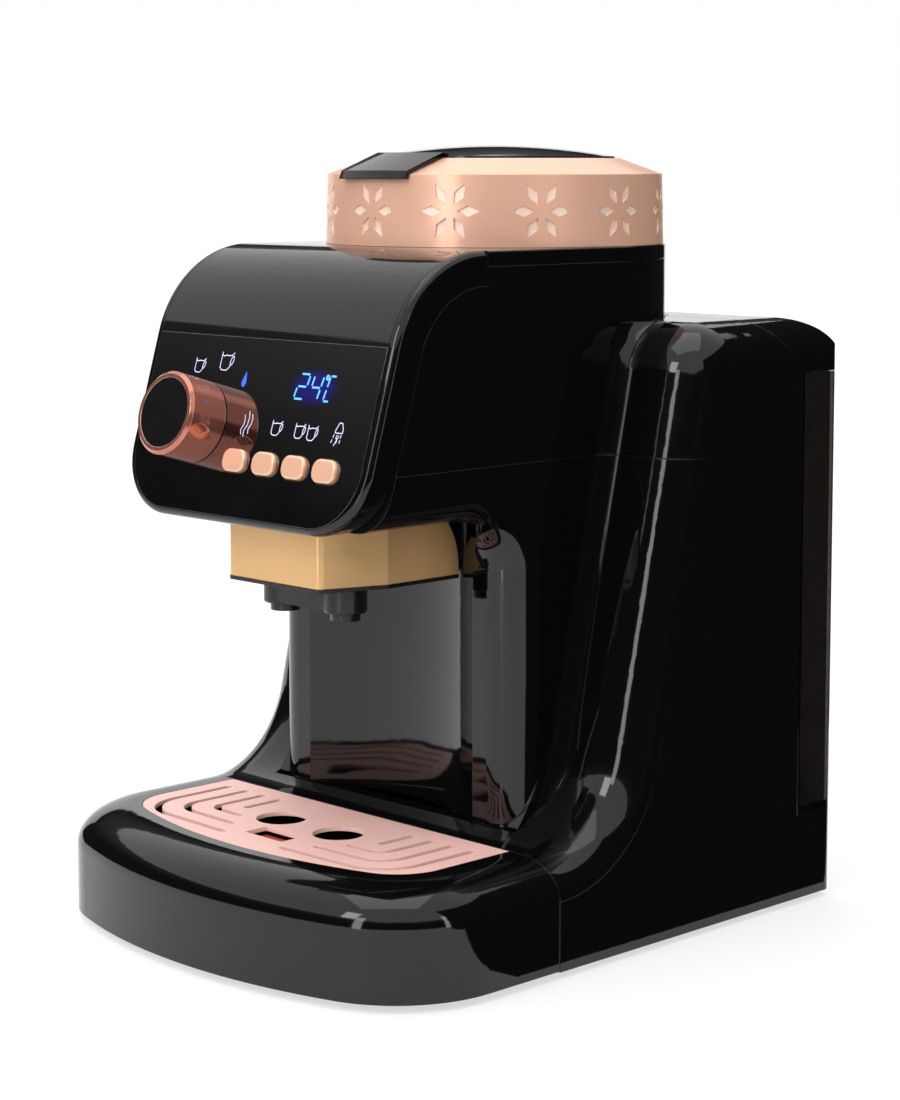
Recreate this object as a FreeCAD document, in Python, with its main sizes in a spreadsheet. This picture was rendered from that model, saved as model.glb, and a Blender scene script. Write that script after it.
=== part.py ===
import FreeCAD, Part
import math
import os

import Sketcher

# Countertop coffee machine: black moulded body with a bean hopper in a copper ring on a round
# tower, a leaning control panel, a brew holder with two spouts and a drip tray.
# Millimetres. +X is to the right of someone facing the machine, -Y is its front, +Z is up.
# The origin is on the surface it stands on, under the middle of the body.

Vec = FreeCAD.Vector
X_AXIS = Vec(1, 0, 0)
Y_AXIS = Vec(0, 1, 0)
Z_AXIS = Vec(0, 0, 1)

doc = FreeCAD.newDocument("coffee_machine")
sheet = doc.addObject("Spreadsheet::Sheet", "Sizes")

# Driving sizes
SIZES = {
    # plan of the base, heights from the surface it stands on
    "base_half": 117.3,
    "base_front": 141.5,
    "base_rear": 141.5,
    "bow_radius": 265.0,
    "base_corner": 52.0,
    "rear_corner": 6.0,
    "foot_height": 3.0,
    "foot_radius": 7.0,
    "deck_height": 48.0,
    "rim_inset": 23.0,
    "rim_drop": 16.0,
    "tray_seam": 38.5,
    "shell_wall": 3.0,
    "seam_gap": 0.3,
    # fenders that sweep up from the deck to the rear housing
    "fender_bend": 61.0,
    "fender_lean": 12.7,
    "fender_crown": 9.0,
    "roof_height": 261.5,
    "lip_radius": 10.0,
    "lip_seam": 5.7,
    "lip_fade": 90.0,
    # head, tower and column
    "tower_radius": 76.2,
    "tower_centre": 42.0,
    "column_front": 23.5,
    "column_edge": 16.0,
    "pocket_half": 52.0,
    "pocket_depth": 13.0,
    "throat_radius": 22.0,
    "head_under": 182.5,
    "mid_seam": 206.0,
    "cover_height": 294.0,
    "cover_band": 6.2,
    "skin": 2.6,
    # leaning front of the head
    "panel_lean": 16.5,
    "panel_seam_front": 90.0,
    "panel_seam_height": 257.2,
    "panel_half": 71.6,
    "panel_drop": 75.6,
    "panel_corner": 25.0,
    "panel_thick": 2.4,
    "frame_margin": 3.6,
    "frame_depth": 14.0,
    "frame_edge": 3.4,
    # knob, buttons and display
    "knob_radius": 17.8,
    "knob_length": 19.0,
    "knob_side": 34.2,
    "knob_drop": 37.8,
    "button_wide": 13.9,
    "button_tall": 9.8,
    "button_rise": 1.9,
    "button_pitch": 18.6,
    "button_first": 4.9,
    "button_drop": 52.1,
    "button_travel": 1.2,
    "display_side": 34.0,
    "display_drop": 18.9,
    # hopper ring and lid
    "ring_radius": 75.2,
    "ring_draft": 0.9,
    "ring_shoulder": 324.6,
    "ring_top": 331.5,
    "ring_mouth": 54.0,
    "lid_rise": 5.7,
    "lid_tab_half": 20.5,
    "star_count": 12,
    "star_height": 26.0,
    "star_depth": 1.5,
    # grinder
    "burr_radius": 25.0,
    "burr_level": 240.0,
    "gear_teeth": 36,
    "pinion_teeth": 12,
    "gear_module": 1.4,
    "motor_radius": 20.0,
    # brew holder
    "holder_front": 89.5,
    "holder_back": 18.5,
    "holder_half": 38.5,
    "holder_nose": 28.5,
    "holder_flare": 30.0,
    "holder_under": 155.3,
    "holder_top": 179.5,
    "band_wall": 1.2,
    "spout_side": 19.2,
    "spout_front": 66.0,
    "spout_radius": 9.2,
    "spout_tip": 139.0,
    "basket_radius": 22.0,
    # drip tray and grille
    "grille_half": 89.3,
    "grille_thick": 1.8,
    "cup_hole": 11.0,
    "cup_hole_side": 18.3,
    "cup_hole_front": 69.7,
    "slot_width": 3.4,
    "basin_floor": 8.7,
    # water tank
    "tank_front": 115.5,
    "tank_foot": 41.0,
    "tank_top": 238.0,
    "tank_wall": 2.4,
    "tank_clear": 2.0,
    "lid_front": 94.1,
    "lid_rear_round": 22.5,
    "lid_pivot_back": 133.5,
    "lid_pivot_drop": 6.6,
}

for row, (name, value) in enumerate(SIZES.items(), start=1):
    sheet.set(f"A{row}", name)
    sheet.set(f"B{row}", str(value))
    sheet.setAlias(f"B{row}", name)
doc.recompute()


class Size:
    """A length with the sheet expression that gives it, so that sums of sizes stay bound."""

    def __init__(self, value, text):
        self.value = float(value)
        self.text = text

    def __add__(self, other):
        return Size(self.value + number(other), f"({self.text} + {words(other)})")

    def __radd__(self, other):
        return Size(number(other) + self.value, f"({words(other)} + {self.text})")

    def __sub__(self, other):
        return Size(self.value - number(other), f"({self.text} - {words(other)})")

    def __rsub__(self, other):
        return Size(number(other) - self.value, f"({words(other)} - {self.text})")

    def __mul__(self, other):
        return Size(self.value * number(other), f"({self.text} * {words(other)})")

    __rmul__ = __mul__

    def __truediv__(self, other):
        return Size(self.value / number(other), f"({self.text} / {words(other)})")

    def __neg__(self):
        return Size(-self.value, f"(-{self.text})")


def number(size):
    return size.value if isinstance(size, Size) else float(size)


def words(size):
    return size.text if isinstance(size, Size) else f"{float(size):.6g}"


class Sheet:
    """Reads a driving size as a plain number."""

    def __getattr__(self, name):
        return float(sheet.get(name))


class Bound:
    """Reads a driving size as a bound size."""

    def __getattr__(self, name):
        return Size(sheet.get(name), f"Sizes.{name}")


n = Sheet()
b = Bound()


def bind(thing, **sizes):
    """Binds properties of a document object; an underscore in a name stands for a dot."""
    for name, size in sizes.items():
        thing.setExpression(name.replace("_", "."), words(size))


# Document objects made from primitives
def box(name, low, high):
    """A Part::Box between two corners."""
    made = doc.addObject("Part::Box", name)
    bind(made, Length=high[0] - low[0], Width=high[1] - low[1], Height=high[2] - low[2])
    bind(made, Placement_Base_x=low[0], Placement_Base_y=low[1], Placement_Base_z=low[2])
    return made


def cylinder(name, radius, length, base):
    """A Part::Cylinder that rises from base."""
    made = doc.addObject("Part::Cylinder", name)
    bind(made, Radius=radius, Height=length)
    bind(made, Placement_Base_x=base[0], Placement_Base_y=base[1], Placement_Base_z=base[2])
    return made


def fuse(name, pieces):
    made = doc.addObject("Part::MultiFuse", name)
    made.Shapes = pieces
    return made


def cut(name, base, tools):
    made = doc.addObject("Part::Cut", name)
    made.Base = base
    made.Tool = tools[0] if len(tools) == 1 else fuse(name + "_tools", tools)
    return made


def feature(name, shape):
    made = doc.addObject("Part::Feature", name)
    made.Shape = shape
    return made


parts = []


def sub_part(made, label):
    """Names a finished sub-part; its label names its file."""
    made.Label = label
    parts.append(made)
    return made


# Bodies with sketches
def sketch(body, role, name):
    made = body.newObject("Sketcher::SketchObject", name)
    plane = [item for item in body.Origin.OriginFeatures if item.Role == role][0]
    made.AttachmentSupport = [(plane, "")]
    made.MapMode = "FlatFace"
    return made


def pin_point(made, geometry, corner, point):
    """Holds a sketch point at bound distances from the sketch's origin."""
    for axis, size in zip(("DistanceX", "DistanceY"), point):
        if number(size) == 0:
            line = -2 if axis == "DistanceX" else -1
            made.addConstraint(Sketcher.Constraint("PointOnObject", geometry, corner, line))
            continue
        index = made.addConstraint(Sketcher.Constraint(axis, -1, 1, geometry, corner, number(size)))
        made.setExpression(f"Constraints[{index}]", words(size))


def polygon(made, points):
    first = made.GeometryCount
    count = len(points)
    for index, point in enumerate(points):
        after = points[(index + 1) % count]
        start = Vec(number(point[0]), number(point[1]), 0)
        end = Vec(number(after[0]), number(after[1]), 0)
        made.addGeometry(Part.LineSegment(start, end), False)
    for index in range(count):
        joint = Sketcher.Constraint("Coincident", first + index, 2, first + (index + 1) % count, 1)
        made.addConstraint(joint)
    for index, point in enumerate(points):
        pin_point(made, first + index, 1, point)


def circle(made, centre, radius):
    middle = Vec(number(centre[0]), number(centre[1]), 0)
    index = made.addGeometry(Part.Circle(middle, Z_AXIS, number(radius)), False)
    pin_point(made, index, 3, centre)
    held = made.addConstraint(Sketcher.Constraint("Radius", index, number(radius)))
    made.setExpression(f"Constraints[{held}]", words(radius))


def turned(name, points):
    """A Body turned about its own Z axis from a half outline of (radius, height) points."""
    body = doc.addObject("PartDesign::Body", name)
    outline = sketch(body, "XZ_Plane", name + "_outline")
    polygon(outline, points)
    turn = body.newObject("PartDesign::Revolution", name + "_turn")
    turn.Profile = outline
    turn.ReferenceAxis = (outline, ["V_Axis"])
    turn.Angle = 360.0
    body.Tip = turn
    return body


def padded(name, role, points, length, both_ways=False, flip=False):
    """A Body padded from a polygon; both_ways centres the pad on its sketch."""
    body = doc.addObject("PartDesign::Body", name)
    outline = sketch(body, role, name + "_outline")
    polygon(outline, points)
    pad = body.newObject("PartDesign::Pad", name + "_pad")
    pad.Profile = outline
    bind(pad, Length=length)
    pad.SideType = "Symmetric" if both_ways else "One side"
    pad.Reversed = flip
    body.Tip = pad
    return body


def pocket(body, name, role, draw, length=None, both_ways=True, flip=False):
    """Cuts what draw puts into a sketch, through the whole body or to a length."""
    outline = sketch(body, role, name + "_outline")
    draw(outline)
    made = body.newObject("PartDesign::Pocket", name)
    made.Profile = outline
    if length is None:
        made.Type = "ThroughAll"
    else:
        bind(made, Length=length)
    made.SideType = "Symmetric" if both_ways else "One side"
    made.Reversed = flip
    body.Tip = made
    return made


def ring_pattern(body, name, features, count):
    made = body.newObject("PartDesign::PolarPattern", name)
    made.Originals = features
    axis = [item for item in body.Origin.OriginFeatures if item.Role == "Z_Axis"][0]
    made.Axis = (axis, [""])
    made.Angle = 360.0
    made.setExpression("Occurrences", words(count))
    body.Tip = made
    return made


def place(body, x=0, y=0, z=0):
    bind(body, Placement_Base_x=x, Placement_Base_y=y, Placement_Base_z=z)
    return body


# Plain shape helpers for the moulded shells
def arc(plane, centre, radius, start, end):
    """An arc in the YZ or XY plane, angles in degrees."""
    points = []
    for angle in (start, (start + end) / 2, end):
        first = centre[0] + radius * math.cos(math.radians(angle))
        second = centre[1] + radius * math.sin(math.radians(angle))
        points.append(Vec(0, first, second) if plane == "YZ" else Vec(first, second, 0))
    return Part.Arc(*points).toShape()


def line(start, end):
    return Part.makeLine(start, end)


def last_point(edges):
    return edges[-1].valueAt(edges[-1].LastParameter)


def first_point(edges):
    return edges[0].valueAt(edges[0].FirstParameter)


def closed_face(edges, corners):
    """A face bounded by edges and then by straight lines through corners."""
    stops = [last_point(edges)] + corners + [first_point(edges)]
    lines = [line(start, end) for start, end in zip(stops, stops[1:])]
    return Part.Face(Part.Wire(edges + lines))


def face_of(corners):
    return Part.Face(Part.makePolygon(corners + [corners[0]]))


def across(face, half):
    """A YZ face extruded both ways along X."""
    face.translate(Vec(-half, 0, 0))
    return face.extrude(Vec(2 * half, 0, 0))


def block(low, high):
    size = Vec(*high) - Vec(*low)
    return Part.makeBox(size.x, size.y, size.z, Vec(*low))


def quarter_ellipse(inner, outer, low, high, axes):
    """A quarter ellipse region; axes gives its place from (outward, upward) distances."""
    ellipse_x = outer - inner
    ellipse_y = high - low
    flat = Part.Ellipse(Vec(0, 0, 0), max(ellipse_x, ellipse_y), min(ellipse_x, ellipse_y))
    edge = Part.ArcOfEllipse(flat, 0.0, math.pi / 2).toShape()
    corner = axes(inner, low)
    along = (axes(outer, low) - corner).normalize()
    up = (axes(inner, high) - corner).normalize()
    side = along.cross(up)
    matrix = FreeCAD.Matrix(
        along.x, up.x, side.x, corner.x,
        along.y, up.y, side.y, corner.y,
        along.z, up.z, side.z, corner.z,
        0, 0, 0, 1,
    )
    edge = edge.transformShape(matrix, True, False)
    ends = [axes(outer, low), corner, axes(inner, high)]
    return Part.Face(Part.Wire([edge, line(ends[2], ends[1]), line(ends[1], ends[0])]))


def swept(face, path):
    """A face swept along a smooth path of lines and arcs."""
    return Part.Wire(path).makePipeShell([face.OuterWire], True, False)


def one(shape):
    """A boolean's result without its seams."""
    return shape.removeSplitter()


# Path of the waist line: deck edge, bend, leaning fender, crown, roof edge
def fender_path(offset, rear):
    lean = math.radians(n.fender_lean)
    level = n.deck_height - n.rim_drop
    roof = n.roof_height - n.rim_drop
    bend = Vec(0, -n.tray_seam, level + n.fender_bend)
    rise = (roof - n.fender_crown - bend.z + (n.fender_bend + n.fender_crown) * math.sin(lean))
    rise = rise / math.cos(lean)
    crown_y = bend.y + (n.fender_bend + n.fender_crown) * math.cos(lean) + rise * math.sin(lean)
    crown = (crown_y, roof - n.fender_crown)
    low = arc("YZ", (bend.y, bend.z), n.fender_bend - offset, -90, -n.fender_lean)
    high = arc("YZ", crown, n.fender_crown + offset, 180 - n.fender_lean, 90)
    climb = line(last_point([low]), first_point([high]))
    roof_line = line(last_point([high]), Vec(0, rear, roof + offset))
    return [low, climb, high, roof_line]


def body_mass(wall, rear):
    """The outer body's solid, drawn in by wall: side slabs, deck and fenders, rolled edges."""
    bottom = -5 if wall else n.foot_height
    front = -n.tray_seam
    roll = n.base_half - n.rim_inset
    end = rear - wall
    slab = closed_face(fender_path(0, end), [Vec(0, end, bottom), Vec(0, front, bottom)])
    core = closed_face(
        fender_path(n.rim_drop - wall, end), [Vec(0, end, bottom), Vec(0, front, bottom)]
    )
    mass = across(slab, n.base_half - wall).fuse(across(core, roll))
    for side in (1, -1):
        section = quarter_ellipse(
            roll, n.base_half - wall, n.deck_height - n.rim_drop, n.deck_height - wall,
            lambda out, up, side=side: Vec(side * out, front, up),
        )
        mass = mass.fuse(swept(section, fender_path(0, end)))
    return one(mass)


FAR = 400.0


def stadium(inset, low, high, front=FAR):
    """The plan of head and tower: straight sides that end in the tower's round."""
    radius = n.tower_radius - inset
    tower = Part.makeCylinder(radius, high - low, Vec(0, n.tower_centre, low))
    sides = block((-radius, -front, low), (radius, n.tower_centre, high))
    return tower.fuse(sides)


# Base: bottom plate, rubber feet and screws
floor_top = n.foot_height + n.shell_wall
screw_radius = 1.75
plate_half = b.base_half - b.shell_wall - b.seam_gap
plate_front = b.base_front - b.shell_wall * 6
base_plate = padded(
    "BasePlate", "XY_Plane",
    [
        (-plate_half, b.base_rear - b.shell_wall * 2),
        (-plate_half, -(b.base_front - b.base_corner - b.rim_drop)),
        (-(plate_half - b.base_corner * 0.55), -plate_front),
        (plate_half - b.base_corner * 0.55, -plate_front),
        (plate_half, -(b.base_front - b.base_corner - b.rim_drop)),
        (plate_half, b.base_rear - b.shell_wall * 2),
    ],
    b.shell_wall,
)
place(base_plate, z=b.foot_height)
foot_front = (n.base_half - 29.3, -(n.base_front - 37.5))
foot_rear = (n.base_half - 19.3, n.base_rear - 19.5)
FOOT_SPOTS = [(side * x, y) for x, y in (foot_front, foot_rear) for side in (-1, 1)]
post_side = n.base_half - 8.8
POST_SPOTS = [(side * post_side, y) for y in (-18.0, n.base_rear - 43.5) for side in (-1, 1)]


def plate_holes(outline):
    for spot in FOOT_SPOTS:
        circle(outline, spot, b.foot_radius - 2)
    for spot in POST_SPOTS:
        circle(outline, spot, screw_radius + 0.25)


pocket(base_plate, "PlateHoles", "XY_Plane", plate_holes)
sub_part(base_plate, "base_plate")

foot_solids = []
for spot_x, spot_y in FOOT_SPOTS:
    pad = Part.makeCylinder(n.foot_radius, n.foot_height, Vec(spot_x, spot_y, 0))
    pad = pad.makeFillet(0.8, [edge for edge in pad.Edges if edge.BoundBox.ZMax < 0.1])
    stem = Part.makeCylinder(n.foot_radius - 2.05, n.shell_wall, Vec(spot_x, spot_y, n.foot_height))
    foot_solids.append(pad.fuse(stem))
sub_part(feature("Feet", Part.makeCompound(foot_solids)), "rubber_feet")


screws = []
for spot_x, spot_y in POST_SPOTS:
    shank = Part.makeCylinder(screw_radius, 13, Vec(spot_x, spot_y, n.foot_height - 0.05))
    head = Part.makeCylinder(3.4, 1.6, Vec(spot_x, spot_y, n.foot_height - 1.65))
    screws.append(shank.fuse(head))
sub_part(feature("Screws", Part.makeCompound(screws)), "base_screws")

# Outer body: one moulding for housing and fenders, parted at the mid seam and the waist line
def rear_corners(inset):
    """A tall block whose rear upright edges have the body's corner radius."""
    half = n.base_half - inset
    rear = n.base_rear - inset
    solid = block((-half, -FAR, -10), (half, rear, FAR))
    edges = [
        edge for edge in solid.Edges
        if edge.BoundBox.ZLength > FAR and abs(edge.CenterOfMass.y - rear) < 0.01
    ]
    return solid.makeFillet(n.rear_corner - inset, edges)


outer = body_mass(0, n.base_rear).common(rear_corners(0))
inner = body_mass(n.shell_wall, n.base_rear).common(rear_corners(n.shell_wall))
shell = outer.cut(inner)
shell = shell.cut(block((-FAR, -FAR, 0), (FAR, -n.tray_seam + n.seam_gap, FAR)))

# the head, column and tower pass through the middle of the fenders
passage_floor = n.deck_height + 2.6
passage = stadium(-n.seam_gap, passage_floor, FAR)
passage = passage.cut(block((-FAR, -FAR, 0), (FAR, -n.column_front - n.seam_gap, FAR)))
passage = passage.cut(block((-FAR, n.tower_centre + 24, 0), (FAR, FAR, n.roof_height - 12)))
shell = shell.cut(passage)
# the column's hollow leaves a level floor in front of it
hollow_half = n.pocket_half + 4
shell = shell.cut(block((-hollow_half, -n.column_front, passage_floor), (hollow_half, 20, FAR)))

# rear notch for the tank, with its shelf, partition and the slanted parting to the tank lid
slant_low = Vec(0, n.tank_front - n.seam_gap, n.tank_top)
slant_rise = (slant_low.y - n.lid_front) / (n.roof_height - n.tank_top)


def behind_slant(gap):
    """Everything behind and above the slanted parting."""
    top = FAR
    reach = n.lid_front - slant_rise * (top - n.roof_height)
    return across(
        face_of([
            Vec(0, reach + gap, top),
            Vec(0, slant_low.y + gap, slant_low.z),
            Vec(0, FAR, slant_low.z),
            Vec(0, FAR, top),
        ]),
        FAR,
    )


tower_skirt = Part.makeCylinder(n.tower_radius + 1, FAR, Vec(0, n.tower_centre, n.tank_top))
lid_space = behind_slant(0).cut(tower_skirt)
tank_space = block((-FAR, n.tank_front - n.seam_gap, n.tank_foot), (FAR, FAR, n.tank_top))
notch = lid_space.fuse(tank_space)
housing = shell.cut(notch)
inside = inner.common(block((-FAR, n.lid_front - 30, n.foot_height), (FAR, FAR, FAR)))
shelf = block((-FAR, n.tank_front - 4, n.tank_foot - n.shell_wall), (FAR, FAR, n.tank_foot))
partition = block(
    (-FAR, n.tank_front - 3.3, n.tank_foot - n.shell_wall), (FAR, n.tank_front - n.seam_gap, n.roof_height)
).cut(lid_space)
slant_plate = behind_slant(-n.shell_wall * 1.2).cut(behind_slant(0)).cut(tower_skirt)
skirt_wall = tower_skirt.cut(
    Part.makeCylinder(n.tower_radius - 2, FAR, Vec(0, n.tower_centre, n.tank_top - 1))
).common(behind_slant(-n.shell_wall * 1.2))
walls = shelf.fuse([partition, slant_plate, skirt_wall]).common(inside)
port_x, port_y = 45.0, n.tank_front + 12.7
pipe_hole = Part.makeCylinder(7.5, 30, Vec(port_x, port_y, n.tank_foot - 12))
housing = one(housing.fuse(walls).cut(pipe_hole))
for spot_x, spot_y in POST_SPOTS:
    post = Part.makeCylinder(6.4, 24, Vec(spot_x, spot_y, floor_top + n.seam_gap))
    housing = housing.fuse(post.common(outer))
    housing = housing.cut(Part.makeCylinder(screw_radius + 0.05, 16, Vec(spot_x, spot_y, n.foot_height)))
inlet_x, inlet_z = -70.0, 21.0
inlet_wide, inlet_tall = 27.0, 19.5
housing = housing.cut(block(
    (inlet_x - inlet_wide / 2 - 0.3, n.base_rear - 20, inlet_z - inlet_tall / 2 - 0.3),
    (inlet_x + inlet_wide / 2 + 0.3, FAR, inlet_z + inlet_tall / 2 + 0.3),
))

# concave lips that blend the head's sides into the fenders and fade out towards the deck
def lip_path():
    face_line = fender_path(n.rim_drop, n.base_rear)
    join = last_point(face_line[:1])
    lean = math.radians(n.fender_lean)
    centre = join + Vec(0, -math.cos(lean), math.sin(lean)) * n.lip_fade
    start = -n.fender_lean - 32
    fade = arc("YZ", (centre.y, centre.z), n.lip_fade, start, -n.fender_lean)
    inward = Vec(0, math.cos(math.radians(start)), math.sin(math.radians(start)))
    return [fade] + face_line[1:], -inward


def lip_mass(low_out, high_out):
    path, up_way = lip_path()
    foot = first_point(path)
    solids = []
    for side in (1, -1):
        def spot(out, up):
            return foot + Vec(side * out, 0, 0) + up_way * up

        near = n.tower_radius
        turn = n.lip_radius * (1 - math.sqrt(0.5))
        curve = Part.Arc(
            spot(near + n.lip_radius, 0), spot(near + turn, turn), spot(near, n.lip_radius)
        ).toShape()
        root = near - 6
        stops = [spot(near, n.lip_radius), spot(root, n.lip_radius), spot(root, 0)]
        stops.append(spot(near + n.lip_radius, 0))
        lines = [line(start, end) for start, end in zip(stops, stops[1:])]
        solid = swept(Part.Face(Part.Wire([curve] + lines)), path)
        low_x, high_x = sorted((side * low_out, side * high_out))
        solids.append(solid.common(block((low_x, -FAR, 0), (high_x, FAR, FAR))))
    return solids


lip_end = n.tower_centre + 24
lip_zone = block((-FAR, -FAR, passage_floor), (FAR, lip_end, n.roof_height))
seam_out = n.tower_radius + n.lip_seam
outer_lips = [solid.common(lip_zone) for solid in lip_mass(seam_out + 0.15, n.tower_radius + 30)]
inner_lips = [solid.common(lip_zone).cut(outer) for solid in lip_mass(0, seam_out - 0.15)]

# region ahead of the waist line and under the mid seam
def fender_region(offset, top):
    edges = fender_path(offset, n.base_rear)
    corners = [
        Vec(0, n.base_rear, FAR), Vec(0, -FAR, FAR), Vec(0, -FAR, first_point(edges).z),
    ]
    ahead = across(closed_face(edges, corners), FAR)
    return ahead.common(block((-FAR, -FAR, 0), (FAR, FAR, top)))


hairline = 0.2
housing = one(housing.fuse(outer_lips))
fenders = housing.common(fender_region(hairline, n.mid_seam - hairline))
rear_housing = housing.cut(fender_region(0, n.mid_seam))


def biggest(shape):
    return max(shape.Solids, key=lambda solid: solid.Volume)


sub_part(feature("Fenders", biggest(one(fenders))), "fender_cover")
sub_part(feature("RearHousing", biggest(one(rear_housing))), "rear_housing")

# Inner body: head and column in two halves
def leaning(offset, height):
    """How far ahead of the origin the panel's outer plane is at a height, drawn in by offset."""
    lean = math.radians(n.panel_lean)
    drop = n.panel_seam_height - height
    return n.panel_seam_front + drop * math.tan(lean) - offset / math.cos(lean)


cover_seam = -39.0

# the brow runs level with the top cover and meets the panel at its seam
brow_radius = (n.cover_height - n.panel_seam_height) / (1 - math.sin(math.radians(n.panel_lean)))


def front_profile(offset):
    """The head's front in the YZ plane: top seam, brow, leaning panel; drawn in by offset."""
    lean = n.panel_lean
    radius = brow_radius - offset
    start = Vec(0, -n.panel_seam_front, n.panel_seam_height)
    centre_y = start.y + brow_radius * math.cos(math.radians(lean))
    centre_z = start.z - brow_radius * math.sin(math.radians(lean))
    top = centre_z + radius
    brow = arc("YZ", (centre_y, centre_z), radius, 90, 180 - lean)
    head = line(Vec(0, cover_seam, top), first_point([brow]))
    low = Vec(0, -leaning(offset, n.mid_seam / 2), n.mid_seam / 2)
    return [head, brow, line(last_point([brow]), low)]


PANEL_LEAN = math.radians(n.panel_lean)
panel_origin = Vec(0, -n.panel_seam_front, n.panel_seam_height)
panel_turn = FreeCAD.Rotation(X_AXIS, 90 - n.panel_lean)
panel_place = FreeCAD.Placement(panel_origin, panel_turn)
panel_out = panel_turn.multVec(Z_AXIS)


def brow_band(outside, depth):
    """The head's front as a curved slab between two offsets of its profile."""
    front = front_profile(outside)
    back = front_profile(outside + depth)
    ends = [line(last_point(front), last_point(back)), line(first_point(back), first_point(front))]
    return Part.Face(Part.Wire(Part.__sortEdges__(front + back + ends)))


def rounded_front(half, drop, corner, along=Z_AXIS):
    """A prism with the panel's round lower corners, square to the panel unless along says else."""
    top = 120.0
    low_left = Part.Arc(
        Vec(-half, -drop + corner, 0),
        Vec(-half + corner * (1 - math.sqrt(0.5)), -drop + corner * (1 - math.sqrt(0.5)), 0),
        Vec(-half + corner, -drop, 0),
    ).toShape()
    low_right = Part.Arc(
        Vec(half - corner, -drop, 0),
        Vec(half - corner * (1 - math.sqrt(0.5)), -drop + corner * (1 - math.sqrt(0.5)), 0),
        Vec(half, -drop + corner, 0),
    ).toShape()
    edges = [
        line(Vec(-half, top, 0), Vec(-half, -drop + corner, 0)), low_left,
        line(Vec(-half + corner, -drop, 0), Vec(half - corner, -drop, 0)), low_right,
        line(Vec(half, -drop + corner, 0), Vec(half, top, 0)),
        line(Vec(half, top, 0), Vec(-half, top, 0)),
    ]
    face = Part.Face(Part.Wire(edges))
    face.translate(along * -110)
    solid = face.extrude(along * 170)
    solid.Placement = panel_place
    return solid


frame = across(brow_band(0, n.frame_depth), n.tower_radius)
frame_drop = n.panel_drop + n.frame_margin
frame_corner = n.panel_corner + n.frame_margin
level_way = panel_turn.inverted().multVec(Y_AXIS * -1)
frame = frame.common(rounded_front(n.tower_radius, frame_drop, frame_corner, level_way))


def on_front(edge):
    """Edges of the frame's outer surface along its side and foot."""
    middle = edge.valueAt((edge.FirstParameter + edge.LastParameter) / 2)
    local = panel_place.inverse().multVec(middle)
    if middle.y > cover_seam - 0.5:
        return False
    if local.y < -1:
        return abs(local.z) < 0.01 and (abs(middle.x) > n.tower_radius - 30 or local.y < -70)
    centre = Vec(0, -n.panel_seam_front + brow_radius * math.cos(PANEL_LEAN), 0)
    centre.z = n.panel_seam_height - brow_radius * math.sin(PANEL_LEAN)
    away = Vec(0, middle.y - centre.y, middle.z - centre.z).Length
    return abs(away - brow_radius) < 0.6 and abs(middle.x) > n.tower_radius - 1


frame = frame.makeFillet(n.frame_edge, [edge for edge in frame.Edges if on_front(edge)])
recess = across(brow_band(-1, n.panel_thick + 1.15), n.panel_half + 0.2)
recess = recess.common(rounded_front(n.panel_half + 0.2, n.panel_drop + 0.2, n.panel_corner + 0.2))
frame = frame.cut(recess)
window = rounded_front(n.panel_half - 5, n.panel_drop - 6, n.panel_corner - 5)
frame = frame.cut(window)
sub_part(feature("PanelFrame", frame), "panel_frame")

# brow cover over the top, parted from the flat control panel by a level seam
facing = across(brow_band(0, n.panel_thick), n.panel_half)
facing = facing.common(rounded_front(n.panel_half, n.panel_drop, n.panel_corner))
facing = facing.cut(block((-FAR, cover_seam - 0.1, 0), (FAR, FAR, FAR)))
above = Part.makeBox(2 * FAR, FAR, 2 * FAR, Vec(-FAR, 0.12, -FAR))
above.Placement = panel_place.multiply(above.Placement)
below = Part.makeBox(2 * FAR, FAR, 2 * FAR, Vec(-FAR, -FAR - 0.12, -FAR))
below.Placement = panel_place.multiply(below.Placement)
sub_part(feature("BrowCover", facing.common(above)), "brow_cover")
control_face = facing.common(below)

knob_spot = Vec(-n.knob_side, -n.knob_drop, 0)
button_spots = [
    Vec(-n.button_first + n.button_pitch * index, -n.button_drop, 0) for index in range(4)
]
BUTTON_ROUND = 4.2


def button_block(grow, low, high, wider=0.0):
    """A button-shaped block about the panel's origin, grown all round."""
    wide = n.button_wide + 2 * grow + wider
    tall = n.button_tall + 2 * grow
    solid = Part.makeBox(wide, tall, high - low, Vec(-wide / 2, -tall / 2, low))
    upright = [edge for edge in solid.Edges if edge.BoundBox.ZLength > high - low - 0.01]
    return solid.makeFillet(BUTTON_ROUND + grow, upright)


holes = [Part.makeCylinder(4.2, 20, knob_spot - Vec(0, 0, 10))]
for spot in button_spots:
    opening = button_block(0.3, -10, 10)
    opening.translate(spot)
    holes.append(opening)
for hole in holes:
    hole.Placement = panel_place.multiply(hole.Placement)
    control_face = control_face.cut(hole)
sub_part(feature("ControlPanel", control_face), "control_panel")

# column and lower head: an L in side view with a rolled edge, hollow behind
def inner_profile(draw_in):
    back = lip_end
    front = -n.column_front + draw_in
    under = n.head_under + draw_in
    radius = n.throat_radius + draw_in
    top = n.mid_seam - 0.15
    foot = passage_floor + 0.3
    if draw_in:
        top, foot, back = top + 20, foot - 20, back + 30
    nose = -leaning(n.frame_depth + 0.3, under) + draw_in
    nose_top = -leaning(n.frame_depth + 0.3, top) + draw_in
    throat = arc("YZ", (front - radius, under - radius), radius, 0, 90)
    corners = [(nose, under), (nose_top, top), (back, top), (back, foot), (front, foot)]
    return closed_face([throat], [Vec(0, *corner) for corner in corners])


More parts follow.
